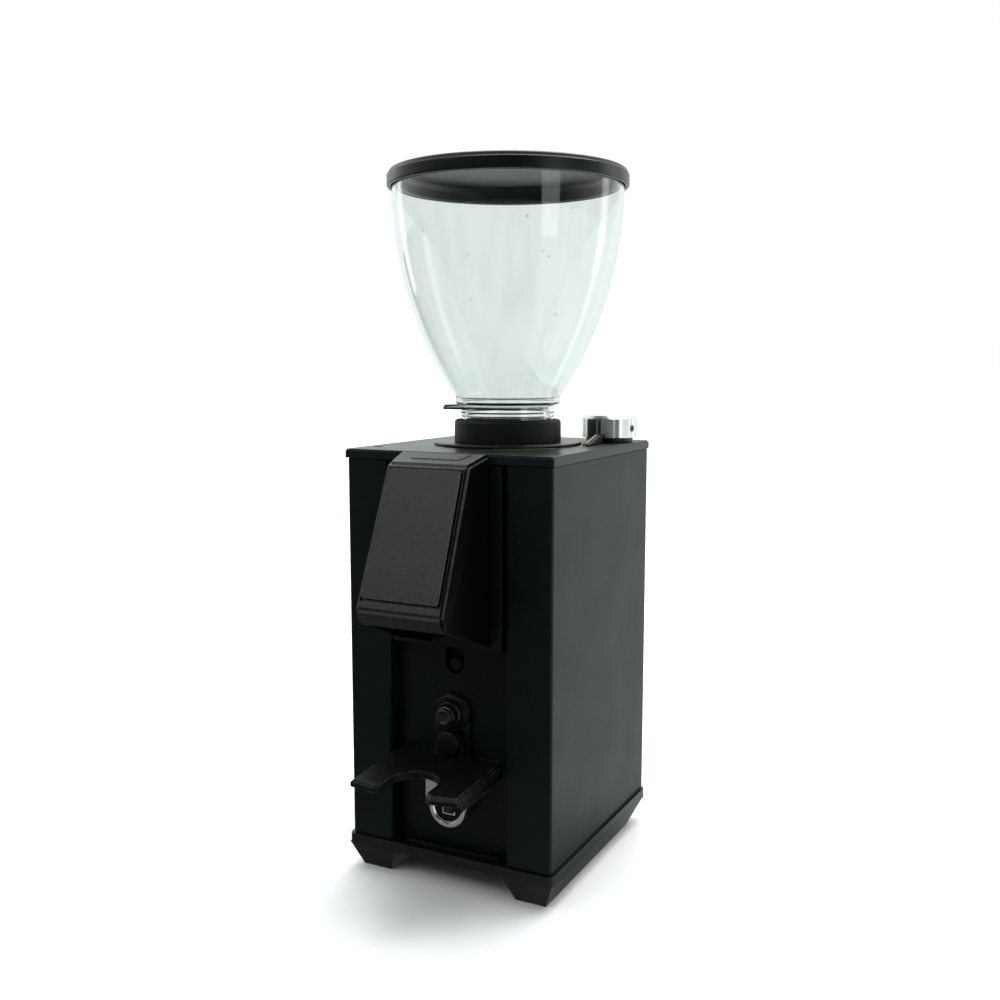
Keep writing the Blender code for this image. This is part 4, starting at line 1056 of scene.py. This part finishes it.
# %% [markdown]
# ## The fork and what holds it
# The fork is a thick plate with a half-round gap for the portafilter. A round knob clamps it at the
# height the user wants, and a stainless plate hangs below it. The plate ends in an eye, which has a
# turned rim and a small clip across it.

# %% fork and hook plate
rounded_copy("fork", FORK_COAT, 0.45 * MM, 3)
rounded_copy("hook_plate", POLISHED, 0.45 * MM, 3)

# %% rim of the eye and its clip
EYE_AXIS = Vector((0, 0, 44.4 * MM))
EYE_HOLE = 7.9
EYE_RIM = 10.9
ring = round_corners([
    (EYE_HOLE, y_in(-65.6), 0.1), (EYE_HOLE, y_in(-66.4), 0.3), (EYE_HOLE + 0.8, y_in(-67.6), 0.6),
    (EYE_RIM - 0.5, y_in(-67.6), 0.7), (EYE_RIM, y_in(-66.6), 0.5), (EYE_RIM, y_in(-65.6), 0.1)])
add_piece("hook_ring", turn(ring, ON_AXIS, 96, forwards(EYE_AXIS)), "fork", POLISHED)
clip = box_shape((-3.0 * MM, y_in(-66.9) * MM, 40.5 * MM), (4.8 * MM, y_in(-65.5) * MM, 54.6 * MM))
add_piece("hook_clip", round_edges(clip, 0.4 * MM, 3), "fork", POLISHED)
clip_face = box_shape((-2.2 * MM, y_in(-67.2) * MM, 41.3 * MM), (4.0 * MM, y_in(-66.6) * MM, 54.4 * MM))
add_piece("hook_clip_face", round_edges(clip_face, 0.25 * MM, 2), "fork", MOULDED)

# %% clamp knob
CLAMP_AXIS = middle("fork_clamp_knob")
clamp = round_corners([(0, y_in(-67.0), 0), (6.4, y_in(-67.0), 0.9), (6.4, y_in(-64.7), 0.4),
                       (2.3, y_in(-64.7), 0.2), (2.3, y_in(-54.0), 0.4), (0, y_in(-54.0), 0)])
add_piece("clamp_knob_turned", turn(clamp, ON_AXIS, 72, forwards(CLAMP_AXIS)), "fork_clamp", MOULDED,
          ["fork_clamp_knob"])

# %% [markdown]
# ## The spout
# The cover is a tapered moulding with soft corners. A second panel sits in a shallow pocket in its
# sloped front and stands out of it by half a millimetre, so a fine dark line runs round it. A faint
# raised patch lies on the cover's top. Both are drawn as outlines on the slanted face and thickened.

# %% spout cover with rounded lower corners
LIP_ROUND = 3.2


def corner_cutter(side):
    """Cuts the lower edge of a side wall round, from the lip back to the housing."""
    bm = bmesh.new()
    loops = []
    for y, low, half in ((-116.0, 152.1, 24.9), (-66.0, 132.3, 25.9)):
        points = [(half - LIP_ROUND, low - 3), (half + 3, low - 3), (half + 3, low + LIP_ROUND)]
        for k in range(9):
            angle = k * pi / 16
            points.append((half - LIP_ROUND * (1 - cos(angle)), low + LIP_ROUND * (1 - sin(angle))))
        loops.append([bm.verts.new(Vector((side * x, y_in(y), z)) * MM) for x, z in points])
    close_loops(bm, loops)
    return bm


cover = rounded_copy("spout_cover", SPARKED, 0.5 * MM, 3)
carve(cover, [corner_cutter(-1), corner_cutter(1)])

# %% the panel and the raised patch
FOLD = Vector((0, y_in(-84.4), 227.2))
SLOPE_END = Vector((0, y_in(-113.5), 157.5))
TOP_START = Vector((0, y_in(-68.3), 231.6))


def thin_plate(outline, start, end, low, high):
    """A plate on a slanted face: its outline is (x, distance from start), its height stands off the face."""
    down = (end - start).normalized()
    outward = Vector((0, down.z, -down.y))
    bm = bmesh.new()
    loops = []
    for height in (low, high):
        row = [start + down * along + outward * height + Vector((x, 0, 0)) for x, along in outline]
        loops.append([bm.verts.new(point * MM) for point in row])
    close_loops(bm, loops)
    return bm


panel = round_corners([(-20.8, 2.7, 1.6), (20.3, 2.7, 1.6), (21.6, 69.4, 1.6), (-22.2, 69.4, 1.6)], steps=6)
panel_shape = round_edges(thin_plate(panel, FOLD, SLOPE_END, -1.4, 0.6), 0.3 * MM, 2, sharper_than=40)
add_piece("spout_panel", panel_shape, "housing", SPARKED, ["spout_front_panel"])
patch = round_corners([(-17.5, 1.0, 0.8), (17.5, 1.0, 0.8), (14.0, 9.5, 1.5), (-14.0, 9.5, 1.5)], steps=4)
patch_shape = round_edges(thin_plate(patch, TOP_START, FOLD, -0.4, 0.3), 0.25 * MM, 2, sharper_than=40)
add_piece("spout_top_patch", patch_shape, "housing", SPARKED)

# %% [markdown]
# ## Mains switch and inlet
# The inlet has three flat pins in its socket, and the rocker is a bent bar that tips in its frame.

# %% electrics at the back
for node in ("power_inlet", "power_switch_body", "power_rocker"):
    rounded_copy(node, MOULDED, 0.4 * MM, 2)
INLET_AXIS = middle("power_inlet")
for number, (x, z) in enumerate(((-7.0, -2.0), (0.0, 2.0), (7.0, -2.0))):
    low = Vector((INLET_AXIS.x + (x - 1.0) * MM, y_in(54.5) * MM, INLET_AXIS.z + (z - 2.0) * MM))
    pin = box_shape(low, low + Vector((2.0, 12.0, 4.0)) * MM)
    add_piece(f"inlet_pin_{number + 1}", round_edges(pin, 0.4 * MM, 2), "housing", BRASS)

# %% [markdown]
# ## What the working model already has right
# Inner parts keep the working model's shapes; they only get a finish that suits what they are made of.

# %% finishes for the parts that stay
FINISH_OF = {"powder_coat": POWDER, "black_plastic": MOULDED, "grained_plastic": SPARKED,
             "black_rubber": RUBBER, "clear_plastic": CLEAR, "turned_aluminium": TURNED,
             "cast_aluminium": CAST, "stainless": STAINLESS, "steel": MACHINED, "burr_steel": GROUND,
             "copper_wire": WINDING, "brass": BRASS, "pale_plastic": CAN, "board_green": BOARD}
slot_of = {part["node"]: part["material_slot"] for part in frame["record"]["subparts"]}
for node, shape in frame["nodes"].items():
    shape.data.materials.clear()
    shape.data.materials.append(FINISH_OF[slot_of[node]])
print("finishes given to", len(slot_of), "nodes")
